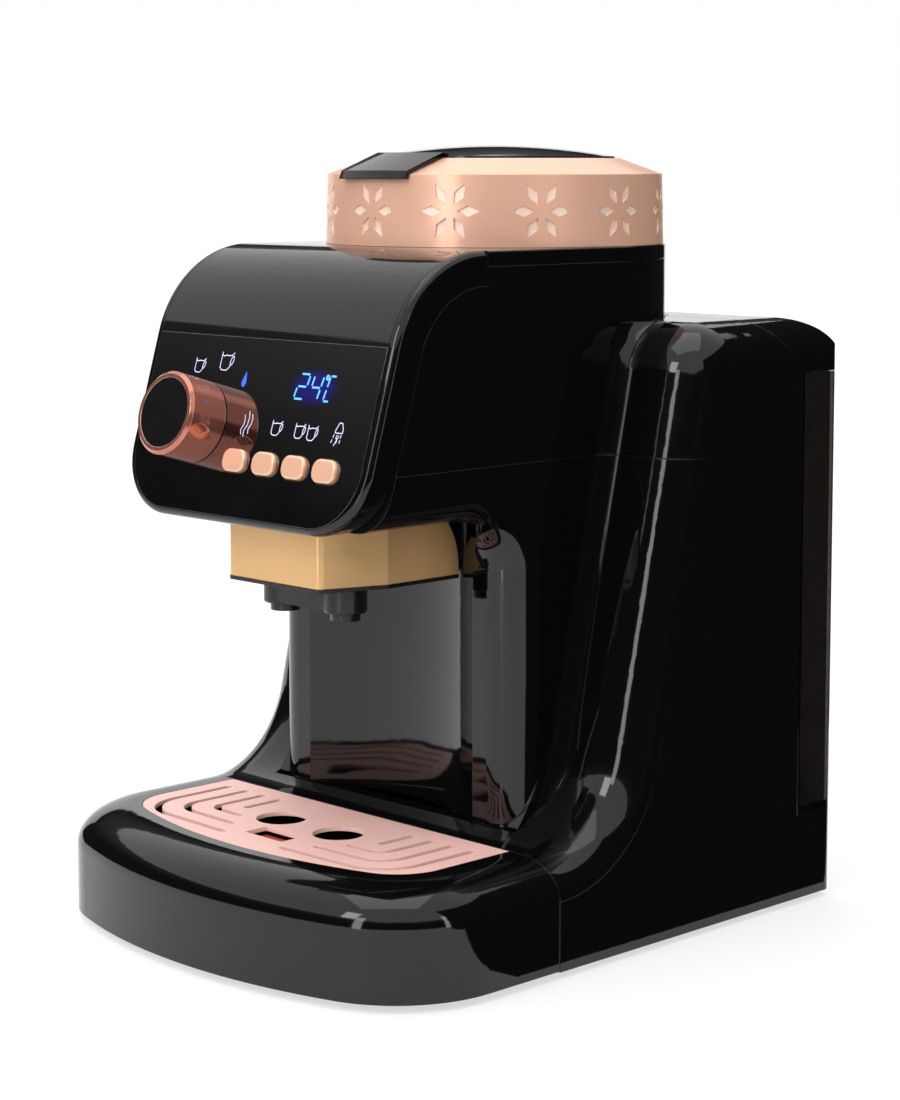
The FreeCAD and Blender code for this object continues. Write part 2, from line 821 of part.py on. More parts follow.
def rolled_edges(solid, half, draw_in):
    picked = []
    for edge in solid.Edges:
        box_ = edge.BoundBox
        if abs(abs(box_.XMin) - half) > 0.01 or box_.XLength > 0.01:
            continue
        column = abs(box_.YMin + n.column_front - draw_in) < 0.01 and box_.YLength < 0.01
        underside = abs(box_.ZMin - n.head_under - draw_in) < 0.01 and box_.ZLength < 0.01
        bend = box_.YLength > 5 and box_.ZLength > 5 and box_.YMax < -n.column_front + draw_in + 0.1
        bend = bend and box_.ZMax < n.head_under + draw_in + 0.1 and box_.YMin > -70
        if column or underside or bend:
            picked.append(edge)
    return picked


def inner_mass(draw_in):
    half = n.tower_radius - draw_in
    solid = across(inner_profile(draw_in), half)
    solid = solid.makeFillet(n.column_edge - draw_in, rolled_edges(solid, half, draw_in))
    sagitta = n.pocket_depth
    radius = (n.pocket_half ** 2 + sagitta ** 2) / (2 * sagitta)
    centre_y = -n.column_front + sagitta - radius
    scoop = Part.makeCylinder(radius + draw_in, n.head_under - 1.5 + draw_in, Vec(0, centre_y, 0))
    return solid.cut(scoop)


round_back = stadium(0, 0, FAR)
lower = inner_mass(0).common(round_back).cut(inner_mass(n.skin))
lip_room = block((-FAR, -FAR, 0), (FAR, FAR, n.mid_seam - 0.15))
lower = lower.fuse([solid.common(lip_room) for solid in inner_lips])
brew_y = -64.0
brew_radius = 19.0
lower = lower.cut(Part.makeCylinder(brew_radius + 0.3, 20, Vec(0, brew_y, n.head_under - 10)))
sub_part(feature("LowerHead", biggest(one(lower))), "column_shell")

# upper head and tower wall
upper_top = n.cover_height - n.cover_band - 0.2
wall = stadium(0, n.mid_seam + 0.05, upper_top).cut(stadium(n.skin, 0, FAR))
back_profile = front_profile(n.frame_depth + 0.3)
top_start = Vec(0, first_point(back_profile).y, FAR)
ahead = closed_face(back_profile, [Vec(0, -FAR, 0), Vec(0, -FAR, FAR), top_start])
wall = wall.cut(across(ahead, FAR))
wall = wall.cut(block((-FAR, lip_end, 0), (FAR, FAR, n.roof_height + 0.2)))
lip_room = block((-FAR, -FAR, n.mid_seam + 0.05), (FAR, FAR, FAR))
wall = wall.fuse([solid.common(lip_room) for solid in inner_lips])
sub_part(feature("UpperHead", biggest(one(wall))), "head_shell")

# top cover: a stadium plate with a short skirt and the hopper's mouth
cover = stadium(0, n.cover_height - n.cover_band, n.cover_height)
cover = cover.cut(block((-FAR, -FAR, 0), (FAR, cover_seam + 0.2, FAR)))
under_cover = stadium(n.skin, n.cover_height - n.cover_band - 1, n.cover_height - n.skin)
under_cover = under_cover.cut(block((-FAR, -FAR, 0), (FAR, cover_seam + 0.2 + n.skin, FAR)))
cover = cover.cut(under_cover)
mouth = n.ring_mouth + 12
cover = cover.cut(Part.makeCylinder(mouth, 50, Vec(0, n.tower_centre, n.cover_height - 40)))
edges = [
    edge for edge in cover.Edges
    if abs(edge.BoundBox.ZMin - n.cover_height) < 0.01 and edge.BoundBox.ZLength < 0.01
    and (abs(abs(edge.CenterOfMass.x) - n.tower_radius) < 0.01 or edge.BoundBox.YMax > n.tower_centre + 76)
]
cover = cover.makeFillet(1.0, edges)
sub_part(feature("TopCover", cover), "top_cover")

# Drip tray: hollow moulded front of the base with a basin under the grille
def plan(inset, back):
    """The base's outline ahead of back, drawn in by inset: side, corner, bowed front."""
    half = n.base_half - inset
    bow = n.bow_radius - inset
    corner = n.base_corner - inset
    bow_centre = Vec(0, -n.base_front + n.bow_radius, 0)
    corner_y = bow_centre.y - math.sqrt((bow - corner) ** 2 - (half - corner) ** 2)
    corner_centre = Vec(half - corner, corner_y, 0)
    away = corner_centre - bow_centre
    turn = math.degrees(math.atan2(away.y, away.x))
    edges = [
        line(Vec(half, back, 0), Vec(half, corner_y, 0)),
        arc("XY", (corner_centre.x, corner_centre.y), corner, 0, turn),
        arc("XY", (0, bow_centre.y), bow, turn, -180 - turn),
        arc("XY", (-corner_centre.x, corner_centre.y), corner, -180 - turn, -180),
        line(Vec(-half, corner_y, 0), Vec(-half, back, 0)),
    ]
    return edges


def plan_block(inset, back, low, high):
    edges = plan(inset, back)
    face = closed_face(edges, [])
    face.translate(Vec(0, 0, low))
    return face.extrude(Vec(0, 0, high - low))


def plan_roll(wall, back):
    level = n.deck_height - n.rim_drop
    section = quarter_ellipse(
        n.base_half - n.rim_inset, n.base_half - wall, level, n.deck_height - wall,
        lambda out, up: Vec(out, back, up),
    )
    path = plan(0, back)
    for edge in path:
        edge.translate(Vec(0, 0, level))
    return swept(section, path)


tray_back = -n.tray_seam - 0.05
level = n.deck_height - n.rim_drop
skirt_low = n.foot_height + 0.5
tray = plan_block(0, tray_back, skirt_low, level)
tray = tray.fuse([plan_block(n.rim_inset, tray_back, skirt_low, n.deck_height), plan_roll(0, tray_back)])
hollow = plan_block(n.shell_wall, tray_back + 5, 0, level)
hollow = hollow.fuse([
    plan_block(n.rim_inset, tray_back + 5, 0, n.deck_height - n.shell_wall),
    plan_roll(n.shell_wall, tray_back + 5),
])
tray = one(tray).cut(one(hollow))
grille_inset = n.base_half - n.grille_half
basin_wall = 2.4
basin_inset = grille_inset + basin_wall
basin = plan_block(grille_inset, tray_back, n.basin_floor - basin_wall, n.deck_height)
basin = basin.cut(plan_block(basin_inset, tray_back - basin_wall, n.basin_floor, n.deck_height + 1))
tray = tray.cut(plan_block(grille_inset, FAR, n.deck_height - n.shell_wall - 1, FAR)).fuse(basin)
grille_low = n.deck_height - n.grille_thick
tray = tray.cut(plan_block(grille_inset + 0.4, FAR, grille_low, FAR))
sub_part(feature("DripTray", biggest(one(tray))), "drip_tray")

# Grille: pressed plate with nested slots, two cup drains and the float's window
grille_back = tray_back - 0.3
grille = plan_block(grille_inset + 0.7, grille_back, grille_low, n.deck_height)


def drill(shape, x, y, radius):
    return shape.cut(Part.makeCylinder(radius, 2 * FAR, Vec(x, y, -FAR)))


def slot(points, radius):
    """A round-ended slot along straight runs with one rounded corner."""
    if len(points) == 2:
        start, end = points
        side = (end - start).normalize().cross(Z_AXIS) * (n.slot_width / 2)
        run = face_of([start + side, end + side, end - side, start - side])
        run.translate(Vec(0, 0, -FAR))
        ends = [Part.makeCylinder(n.slot_width / 2, 2 * FAR, spot - Vec(0, 0, FAR)) for spot in points]
        return run.extrude(Vec(0, 0, 2 * FAR)).fuse(ends)
    else:
        first, corner, last = points
        away = (first - corner).normalize()
        along = (last - corner).normalize()
        opening = away.getAngle(along) / 2
        reach = radius / math.tan(opening)
        start = corner + away * reach
        end = corner + along * reach
        middle_way = (away + along).normalize()
        middle = corner + middle_way * (radius / math.sin(opening) - radius)
        spine = Part.Wire([line(first, start), Part.Arc(start, middle, end).toShape(), line(end, last)])
    ring_ = spine.makeOffset2D(n.slot_width / 2, 0, False, False)
    face = Part.Face(ring_)
    face.translate(Vec(0, 0, -FAR))
    return face.extrude(Vec(0, 0, 2 * FAR))


slot_start = -49.6
SLOTS = [
    ((78.4, slot_start), (78.4, -99.5), (19.7, -101.6), 20.0),
    ((66.5, slot_start), (66.5, -89.0), (27.7, -90.2), 12.5),
    ((54.8, slot_start), (54.8, -78.6), (35.9, -79.2), 6.5),
]
for side in (1, -1):
    grille = drill(grille, side * n.cup_hole_side, -n.cup_hole_front, n.cup_hole)
    for first, corner, last, radius in SLOTS:
        corners = [Vec(side * x, y, 0) for x, y in (first, corner, last)]
        grille = grille.cut(slot(corners, radius))
    grille = grille.cut(slot([Vec(side * 43.3, slot_start, 0), Vec(side * 43.3, -67.9, 0)], 0))
window_half, window_front, window_back = 11.8, -95.8, -84.0
grille = grille.cut(block((-window_half, window_front, 0), (window_half, window_back, FAR)))
sub_part(feature("Grille", grille), "drip_grille")

# Float: a red block that rises through the window when the basin is full
float_gap = 0.8
tray_float = box(
    "Float",
    (-(window_half - float_gap), window_front + float_gap, b.basin_floor + 0.3),
    (window_half - float_gap, window_back - float_gap, b.deck_height - b.grille_thick - 1.4),
)
sub_part(tray_float, "drip_float")

# Water tank: clear moulded box across the back, hollowed round the tower so that it lifts out
lid_gap = 0.3


def round_tower(inset):
    return Part.makeCylinder(n.tower_radius + n.tank_clear + inset, FAR, Vec(0, n.tower_centre, 0))


def tank_block(inset, low, high):
    solid = block((-FAR, n.tank_front + inset, low), (FAR, FAR, high))
    return solid.common(rear_corners(inset)).cut(round_tower(inset))


tank_low = n.tank_foot + lid_gap
tank = tank_block(0, tank_low, n.tank_top)
tank = tank.cut(tank_block(n.tank_wall, tank_low + 3, n.tank_top + 1))
port = Part.makeCylinder(8.0, 3.4, Vec(port_x, port_y, tank_low + 2.6))
tank = tank.fuse(port).cut(Part.makeCylinder(4.1, 30, Vec(port_x, port_y, tank_low - 1)))
ramp_wide, ramp_rise = 12.0, 14.0
for side in (1, -1):
    ramp = face_of([
        Vec(0, n.tank_front + n.tank_wall - 0.5, tank_low + 2.5),
        Vec(0, n.base_rear - n.tank_wall + 0.5, tank_low + 2.5),
        Vec(0, n.base_rear - n.tank_wall + 0.5, tank_low + 2.5 + ramp_rise),
    ])
    near, far = sorted((side * (n.base_half - 14), side * (n.base_half - 14 - ramp_wide)))
    ramp.translate(Vec(near, 0, 0))
    tank = tank.fuse(ramp.extrude(Vec(far - near, 0, 0)))
sub_part(feature("Tank", biggest(one(tank))), "water_tank")

# Tank lid: black cap that carries the roof's shape back over the tank, with two tabs inside it
def lid_mass(inset):
    rear = n.base_rear - inset
    roof = n.roof_height - inset
    solid = body_mass(inset, n.base_rear)
    solid = solid.common(behind_slant(lid_gap + inset)).common(rear_corners(inset))
    profile = block((-FAR, 0, n.tank_top + lid_gap - (5 if inset else 0)), (FAR, rear, roof))
    profile = profile.makeFillet(n.lid_rear_round - inset, [
        edge for edge in profile.Edges
        if abs(edge.BoundBox.YMin - rear) < 0.01 and abs(edge.BoundBox.ZMin - roof) < 0.01
    ])
    return solid.common(profile).cut(round_tower(inset - 0.4))


tank_lid = lid_mass(0).cut(lid_mass(n.tank_wall))
pivot_height = n.tank_top - n.lid_pivot_drop
for side in (1, -1):
    low, high = sorted((side * (n.base_half - n.tank_wall - 2.6), side * (n.base_half - n.tank_wall - 0.4)))
    tab = block((low, n.tank_front + 5, n.tank_top - 13), (high, n.tank_front + 15, n.tank_top + 8))
    peg_start = min(side * (n.base_half - n.tank_wall - 0.4), side * (n.base_half - n.tank_wall - 6))
    ear_low = (low, n.lid_pivot_back - 3.2, pivot_height - 4)
    ear = block(ear_low, (high, n.lid_pivot_back + 3.2, n.tank_top + 8))
    peg = Part.makeCylinder(3.0, 5.6, Vec(peg_start, n.lid_pivot_back, pivot_height), X_AXIS)
    tank_lid = tank_lid.fuse([tab, ear, peg])
sub_part(feature("TankLid", biggest(one(tank_lid))), "tank_lid")

# Tank valve: a spring plunger over the outlet, and the seat with its pin in the shelf
valve_seat = b.tank_foot + lid_gap + 6.05
valve = turned("TankValve", [
    (0, valve_seat - 5.2), (3.2, valve_seat - 5.2), (3.2, valve_seat), (6.4, valve_seat),
    (6.4, valve_seat + 2.2), (2.4, valve_seat + 3.2), (2.4, valve_seat + 9), (0, valve_seat + 9),
])
sub_part(place(valve, x=port_x, y=port_y), "tank_valve")

# Hopper ring: spun copper-coloured wall with a bevelled shoulder, cut stars and a ledge for the lid
ring_wall = 3.0
bevel = 2.4
ledge_drop, ledge_wide, ledge_thick = 1.6, 1.6, 1.4
ring = turned("RingBody", [
    (b.ring_radius - ring_wall, b.cover_height + 0.05),
    (b.ring_radius, b.cover_height + 0.05),
    (b.ring_radius - b.ring_draft, b.ring_shoulder),
    (b.ring_mouth + 1.5, b.ring_top),
    (b.ring_mouth, b.ring_top),
    (b.ring_mouth, b.ring_top - ledge_drop),
    (b.ring_mouth - ledge_wide, b.ring_top - ledge_drop),
    (b.ring_mouth - ledge_wide, b.ring_top - ledge_drop - ledge_thick),
    (b.ring_radius - b.ring_draft - ring_wall, b.ring_shoulder - bevel),
])

PETAL = ((0.25, 0.0), (0.6, -0.175), (1.0, 0.0), (0.6, 0.175))


def star(outline):
    """Six slim rhombi about the star's centre, one to each side."""
    middle = (b.cover_height + b.ring_shoulder) / 2
    for index in range(6):
        angle = math.radians(60 * index)
        points = []
        for reach, wide in PETAL:
            side = reach * math.cos(angle) - wide * math.sin(angle)
            rise = reach * math.sin(angle) + wide * math.cos(angle)
            points.append((b.star_height / 2 * side, middle + b.star_height / 2 * rise))
        polygon(outline, points)


star_cut = pocket(ring, "StarCut", "XZ_Plane", star, b.star_depth + 2, both_ways=False, flip=True)
bind(star_cut.Profile[0], AttachmentOffset_Base_z=b.ring_radius - b.star_depth)
doc.recompute()
ring_pattern(ring, "StarPattern", [star_cut], b.star_count)
sub_part(place(ring, y=b.tower_centre), "hopper_ring")

# Hopper lid: shallow dome that drops into the mouth, with a tab over the ring's bevel
def spun(corners, centre_y):
    """A solid turned about an upright axis; a three-point corner entry is an arc."""
    edges = []
    spots = [corner[-1] if isinstance(corner[0], tuple) else corner for corner in corners]
    for index, corner in enumerate(corners):
        before = Vec(spots[index - 1][0], 0, spots[index - 1][1])
        if isinstance(corner[0], tuple):
            middle, end = corner
            edges.append(Part.Arc(before, Vec(middle[0], 0, middle[1]), Vec(end[0], 0, end[1])).toShape())
        else:
            edges.append(line(before, Vec(corner[0], 0, corner[1])))
    solid = Part.Face(Part.Wire(edges)).revolve(Vec(), Z_AXIS, 360)
    solid.translate(Vec(0, centre_y, 0))
    return solid


def dome_middle(edge, low, top):
    """The half-way point of a shallow arc centred on the axis, from (edge, low) to (0, top)."""
    radius = (edge ** 2 + (top - low) ** 2) / (2 * (top - low))
    angle = math.asin(edge / radius) / 2
    return radius * math.sin(angle), top - radius * (1 - math.cos(angle))


lid_edge = n.ring_mouth - 0.4
lid_low = n.ring_top - ledge_drop + 0.05
lid_high = n.ring_top + 0.8
dome_top = n.ring_top + n.lid_rise
dome_thick = 2.0
plug_outer = n.ring_mouth - ledge_wide - 0.4
plug_bore = plug_outer - 2.0
plug_low = n.ring_top - 4.2
lid = spun([
    (0, dome_top), (dome_middle(lid_edge, lid_high, dome_top), (lid_edge, lid_high)),
    (lid_edge, lid_low), (plug_outer, lid_low), (plug_outer, plug_low),
    (plug_bore, plug_low), (plug_bore, lid_low),
    (dome_middle(plug_bore, lid_low, dome_top - dome_thick), (0, dome_top - dome_thick)),
], n.tower_centre)
shoulder = n.ring_radius - n.ring_draft
tab_gap, tab_thick = 0.4, 2.0
tab_root = n.ring_mouth - 1.2
tab = spun([
    (tab_root, n.ring_top + tab_gap), (n.ring_mouth + 1.6, n.ring_top + tab_gap),
    (shoulder + tab_gap, n.ring_shoulder + tab_gap), (n.ring_radius + tab_gap, n.ring_shoulder - 2),
    (n.ring_radius + tab_gap + tab_thick, n.ring_shoulder - 2),
    (shoulder + tab_gap + tab_thick - 0.6, n.ring_shoulder + tab_gap + 1.2),
    (n.ring_mouth + 2.0, n.ring_top + tab_gap + tab_thick), (tab_root, n.ring_top + tab_gap + 1.2),
], n.tower_centre)
tab = tab.common(block((-n.lid_tab_half, -FAR, 0), (n.lid_tab_half, n.tower_centre, FAR)))
sub_part(feature("HopperLid", one(lid.fuse(tab))), "hopper_lid")

# Bean hopper: funnel that hangs in the top cover's mouth and feeds the burrs
funnel_wall = 2.0
flange_low = b.cover_height + 0.05
neck = b.ring_mouth + 11.7
funnel = turned("Funnel", [
    (b.ring_radius - ring_wall - 0.7, flange_low), (neck, flange_low), (neck, b.cover_height - 6),
    (b.burr_radius + 1.5, b.roof_height + 3), (b.burr_radius + 1.5, b.roof_height + 1),
    (b.burr_radius - 0.5, b.roof_height + 1), (b.burr_radius - 0.5, b.roof_height + 4.1),
    (neck - funnel_wall, b.cover_height - 5), (neck - funnel_wall, b.cover_height + funnel_wall),
    (b.ring_radius - ring_wall - 0.7, b.cover_height + funnel_wall),
])
sub_part(place(funnel, y=b.tower_centre), "bean_hopper")

# Grinder: housing on a shelf, two burrs, a gear under the lower burr and a pinion on the motor
case_radius = b.burr_radius + 5
case_bore = b.burr_radius + 2.3
case_low = b.burr_level - 14
case_floor = case_low + 2.6
case_high = b.roof_height + 0.5
case = turned("GrinderCase", [
    (6.05, case_low), (case_radius, case_low), (case_radius, case_high), (case_bore, case_high),
    (case_bore, case_floor), (6.05, case_floor),
])
gear_gap = b.gear_module * (b.gear_teeth + b.pinion_teeth) / 2
pinion_outer = b.gear_module * (b.pinion_teeth / 2 + 1)
pinion_room = cylinder("PinionRoom", pinion_outer + 0.8, 9.2, (gear_gap, b.tower_centre, case_floor))
spout_back = b.tower_centre - b.burr_radius
spout_body = box("GrindSpout", (-9, spout_back - 13, case_low), (9, spout_back - 1, b.burr_level + 0.5))
spout_room = box(
    "GrindSpoutRoom", (-7, spout_back - 11, case_low - 1), (7, spout_back + 2, b.burr_level - 1.5)
)
case_body = fuse("GrinderCaseBody", [place(case, y=b.tower_centre), spout_body])
sub_part(cut("GrinderHousing", case_body, [pinion_room, spout_room]), "grinder_housing")

upper_burr = turned("UpperBurr", [
    (b.burr_radius - 7, b.burr_level + 11.4), (b.burr_radius + 2.2, b.burr_level + 11.4),
    (b.burr_radius + 2.2, b.burr_level + 17), (b.burr_radius - 4, b.burr_level + 17),
    (b.burr_radius - 8, b.burr_level + 14),
])
sub_part(place(upper_burr, y=b.tower_centre), "upper_burr")
lower_burr = turned("LowerBurr", [
    (6, b.burr_level + 0.05), (b.burr_radius - 0.5, b.burr_level + 0.05),
    (b.burr_radius - 0.5, b.burr_level + 7), (b.burr_radius - 9, b.burr_level + 11),
    (b.burr_radius - 12, b.burr_level + 14), (6, b.burr_level + 14),
])
sub_part(place(lower_burr, y=b.tower_centre), "lower_burr")


def gear(teeth, low, high, turn):
    """A spur gear about the Z axis with a tooth at the angle turn, in degrees."""
    pitch_radius = n.gear_module * teeth / 2
    radii = {
        "root": pitch_radius - 1.15 * n.gear_module,
        "pitch": pitch_radius,
        "tip": pitch_radius + 0.75 * n.gear_module,
    }
    flank = (("root", 0.27), ("pitch", 0.21), ("tip", 0.12))
    points = []
    for tooth in range(int(teeth)):
        for name, half in [(name, -half) for name, half in flank] + list(reversed(flank)):
            angle = math.radians(turn) + 2 * math.pi * (tooth + half) / teeth
            points.append(Vec(radii[name] * math.cos(angle), radii[name] * math.sin(angle), low))
    return face_of(points).extrude(Vec(0, 0, high - low))


gear_low = number(case_floor) + 0.3
gear_high = gear_low + 7.5
gear_level = n.burr_level - 0.05
wheel = gear(n.gear_teeth, gear_low, gear_high, 0)
wheel = wheel.fuse([
    Part.makeCylinder(6.0, n.burr_level + 14 - gear_low + 2.5, Vec(0, 0, gear_low - 2.5)),
    Part.makeCylinder(12.0, n.burr_level - gear_high, Vec(0, 0, gear_high)),
])
wheel.translate(Vec(0, n.tower_centre, 0))
sub_part(feature("BurrGear", one(wheel)), "burr_gear")
motor_x = number(gear_gap)
shelf_low = number(case_low) - 4.0
motor_top = shelf_low - 0.05
pinion = gear(n.pinion_teeth, gear_low, gear_high, 180 + 180 / n.pinion_teeth)
pinion = pinion.fuse(Part.makeCylinder(3.0, gear_high - motor_top + 10, Vec(0, 0, motor_top - 10)))
pinion.translate(Vec(motor_x, n.tower_centre, 0))
sub_part(feature("MotorPinion", one(pinion)), "motor_pinion")
motor = turned("GrinderMotor", [
    (0, motor_top - 70), (b.motor_radius - 8, motor_top - 70), (b.motor_radius - 8, motor_top - 66),
    (b.motor_radius, motor_top - 66), (b.motor_radius, motor_top), (3.05, motor_top),
    (3.05, motor_top - 12), (0, motor_top - 12),
])
sub_part(place(motor, x=gear_gap, y=b.tower_centre), "grinder_motor")

# Chassis: bent steel plate that carries grinder, motor, heater and boards
plate = 2.0
upright_back = 64.5
chassis_half = 58.0
shelf_front = 24.0
foot_plate = box(
    "ChassisFoot", (-chassis_half, shelf_front, floor_top + 0.05),
    (chassis_half, upright_back, floor_top + plate),
)
upright = box(
    "ChassisBack", (-chassis_half, upright_back - plate, floor_top + 0.05),
    (chassis_half, upright_back, shelf_low + 3.95),
)
shelf_plate = box(
    "ChassisShelf", (-chassis_half, shelf_front, shelf_low), (chassis_half, upright_back, shelf_low + 3.95)
)
shaft_hole = cylinder("ShaftHole", 6, 20, (gear_gap, b.tower_centre, shelf_low - 8))
hub_hole = cylinder("HubHole", 7, 20, (0, b.tower_centre, shelf_low - 8))
plates = fuse("ChassisPlates", [foot_plate, upright, shelf_plate])
sub_part(cut("Chassis", plates, [shaft_hole, hub_hole]), "chassis")


def bent_rod(points, radius, bend):
    """A round rod along straight runs with bent corners."""
    edges = []
    start = points[0]
    for before, corner, after in zip(points, points[1:], points[2:]):
        back = (before - corner).normalize()
        on = (after - corner).normalize()
        half_angle = back.getAngle(on) / 2
        reach = bend / math.tan(half_angle)
        middle = corner + (back + on).normalize() * (bend / math.sin(half_angle) - bend)
        edges.append(line(start, corner + back * reach))
        edges.append(Part.Arc(corner + back * reach, middle, corner + on * reach).toShape())
        start = corner + on * reach
    edges.append(line(start, points[-1]))
    ring_edge = Part.makeCircle(radius, points[0], points[1] - points[0])
    return Part.Wire(edges).makePipeShell([Part.Wire(ring_edge)], True, False)


def hose(points, radius, wall, bend=6.0):
    route = [Vec(*point) for point in points]
    return bent_rod(route, radius, bend).cut(bent_rod(route, radius - wall, bend))


# Brew head over the holder, its gasket, and the chute that drops the ground coffee
floor_level = n.head_under + n.skin
brew_flange = brew_radius + 3
brew_body = turned("BrewHead", [
    (0, b.head_under + 0.2), (brew_radius, b.head_under + 0.2), (brew_radius, b.head_under + b.skin + 0.05),
    (brew_flange, b.head_under + b.skin + 0.05), (brew_flange, b.head_under + b.skin + 3),
    (brew_radius - 2, b.head_under + b.skin + 3), (brew_radius - 6, b.head_under + 17),
    (4, b.head_under + 17), (4, b.head_under + 22), (0, b.head_under + 22),
])
sub_part(place(brew_body, y=brew_y), "brew_head")
gasket = turned("BrewGasket", [
    (brew_radius - 6, b.holder_top + 0.5), (brew_radius - 0.4, b.holder_top + 0.5),
    (brew_radius - 0.4, b.head_under + 0.15), (brew_radius - 6, b.head_under + 0.15),
])
sub_part(place(gasket, y=brew_y), "brew_gasket")
chute_top = Vec(0, number(spout_back) - 6, number(case_low) - 0.3)
chute_foot = Vec(0, -29, floor_level + 0.1)
chute_way = (chute_foot - chute_top).normalize()
chute_start = chute_top - chute_way * 20
chute = Part.makeCylinder(9.0, 120, chute_start, chute_way)
chute = chute.cut(Part.makeCylinder(7.6, 120, chute_start, chute_way))
chute = chute.common(block((-FAR, -FAR, chute_foot.z), (FAR, FAR, chute_top.z)))
sub_part(feature("GroundsChute", chute), "grounds_chute")

# Brew holder: black carrier in a gold band that pulls down off two guide plates under the head
def holder_plan(inset, low, high):
    back = -n.holder_back - inset
    flare_y = -n.holder_front + n.holder_flare
    front = -n.holder_front + inset
    slope = (n.holder_half - n.holder_nose) / n.holder_flare
    shift = inset * (math.sqrt(1 + slope ** 2) - slope)
    nose = n.holder_nose - shift
    half = n.holder_half - inset
    right = [(nose, front), (half, flare_y), (half, back)]
    corners = right + [(-x, y) for x, y in reversed(right)]
    solid = face_of([Vec(x, y, low) for x, y in corners]).extrude(Vec(0, 0, high - low))
    nose_edges = [
        edge for edge in solid.Edges
        if edge.BoundBox.ZLength > high - low - 0.01 and abs(edge.CenterOfMass.y - front) < 0.01
    ]
    return solid.makeFillet(max(3.2 - inset, 0.8), nose_edges)


tail_round = 32.0
tail_centre = -n.holder_back - tail_round
tail_keep = Part.makeCylinder(tail_round, 2 * FAR, Vec(-FAR, tail_centre, n.holder_under + 3.7), X_AXIS)
tail_keep = tail_keep.fuse(block((-FAR, -FAR, 0), (FAR, tail_centre, FAR)))
tail_keep = tail_keep.fuse(block((-FAR, -FAR, 0), (FAR, -n.holder_back, n.holder_under + 3.7)))
band_gap = 0.05
band = holder_plan(0, n.holder_under, n.holder_top)
band = band.cut(holder_plan(n.band_wall, n.holder_under - 1, n.holder_top + 1).fuse(
    block((-n.holder_half + n.band_wall, -50, 0), (n.holder_half - n.band_wall, 0, FAR))
)).common(tail_keep)
sub_part(feature("GoldBand", band), "gold_band")

carrier = holder_plan(n.band_wall + band_gap, n.holder_under - 0.2, n.holder_top - 0.4).common(tail_keep)
rim = holder_plan(-0.3, n.holder_under - 1.6, n.holder_under - 0.05).common(tail_keep)
carrier = carrier.fuse(rim)
basket_room = Part.makeCylinder(n.basket_radius + 0.3, 40, Vec(0, brew_y, n.holder_under + 3))
basket_lip = Part.makeCylinder(n.basket_radius + 2.3, 40, Vec(0, brew_y, n.holder_top - 2))
carrier = carrier.cut(basket_room.fuse(basket_lip))
carrier = carrier.cut(block((-20, -40, n.holder_under + 3), (20, -26, FAR)))
guide_side = n.basket_radius + 5.4
guide_front, guide_back = brew_y - 12.0, brew_y + 16.0
guide_half, guide_low = 1.4, n.holder_top - 8
guides = []
for side in (1, -1):
    x = side * guide_side
    guides.append(block(
        (x - guide_half, guide_front, guide_low), (x + guide_half, guide_back, n.head_under - 0.05)
    ))
    carrier = carrier.cut(block(
        (x - guide_half - 0.1, guide_front - 0.1, guide_low - 0.4),
        (x + guide_half + 0.1, guide_back + 0.1, FAR),
    ))
for side in (1, -1):
    drain = Part.makeCylinder(3.0, 30, Vec(side * n.spout_side, -n.spout_front, n.holder_under - 5))
    carrier = carrier.cut(drain)
sub_part(feature("BrewHolder", biggest(one(carrier))), "brew_holder")
sub_part(feature("HolderGuides", Part.makeCompound(guides)), "holder_guides")

basket = turned("FilterBasket", [
    (0, b.holder_under + 4.5), (b.basket_radius - 1, b.holder_under + 4.5),
    (b.basket_radius, b.holder_under + 5.5),
    (b.basket_radius, b.holder_top - 1.95), (b.basket_radius + 2, b.holder_top - 1.95),
    (b.basket_radius + 2, b.holder_top - 0.9), (b.basket_radius - 1, b.holder_top - 0.9),
    (b.basket_radius - 1, b.holder_under + 5.7), (0, b.holder_under + 5.7),
])
sub_part(place(basket, y=brew_y), "filter_basket")

# Spouts: two stepped nozzles joined by a bridge under the holder
spout_top = n.holder_under - 1.65
tip_radius = n.spout_radius - 2.9
barrel_low = n.spout_tip + 3.3
bridge_half = n.spout_radius - 1.4
bridge_low = (-n.spout_side, -n.spout_front - bridge_half, barrel_low + 0.8)
nozzles = [block(bridge_low, (n.spout_side, -n.spout_front + bridge_half, spout_top))]
bores = []
for side in (1, -1):
    x, y = side * n.spout_side, -n.spout_front
    barrel = Part.makeCylinder(n.spout_radius, spout_top - barrel_low, Vec(x, y, barrel_low))
    barrel = barrel.makeFillet(1.0, [edge for edge in barrel.Edges if edge.BoundBox.ZMax < barrel_low + 0.5])
    tip = Part.makeCylinder(tip_radius, 6, Vec(x, y, n.spout_tip))
    nozzles += [barrel, tip]
    bores.append(Part.makeCylinder(2.2, 40, Vec(x, y, n.spout_tip - 5)))
nozzle_block = nozzles[0].fuse(nozzles[1:]).cut(bores[0].fuse(bores[1]))
sub_part(feature("Spouts", one(nozzle_block)), "spouts")

# Front controls: board with its switches, display, encoder, knob and buttons
def on_panel(made):
    """Carries something drawn about the panel's origin to the leaning panel."""
    made.Placement = panel_place.multiply(made.Placement)
    return made


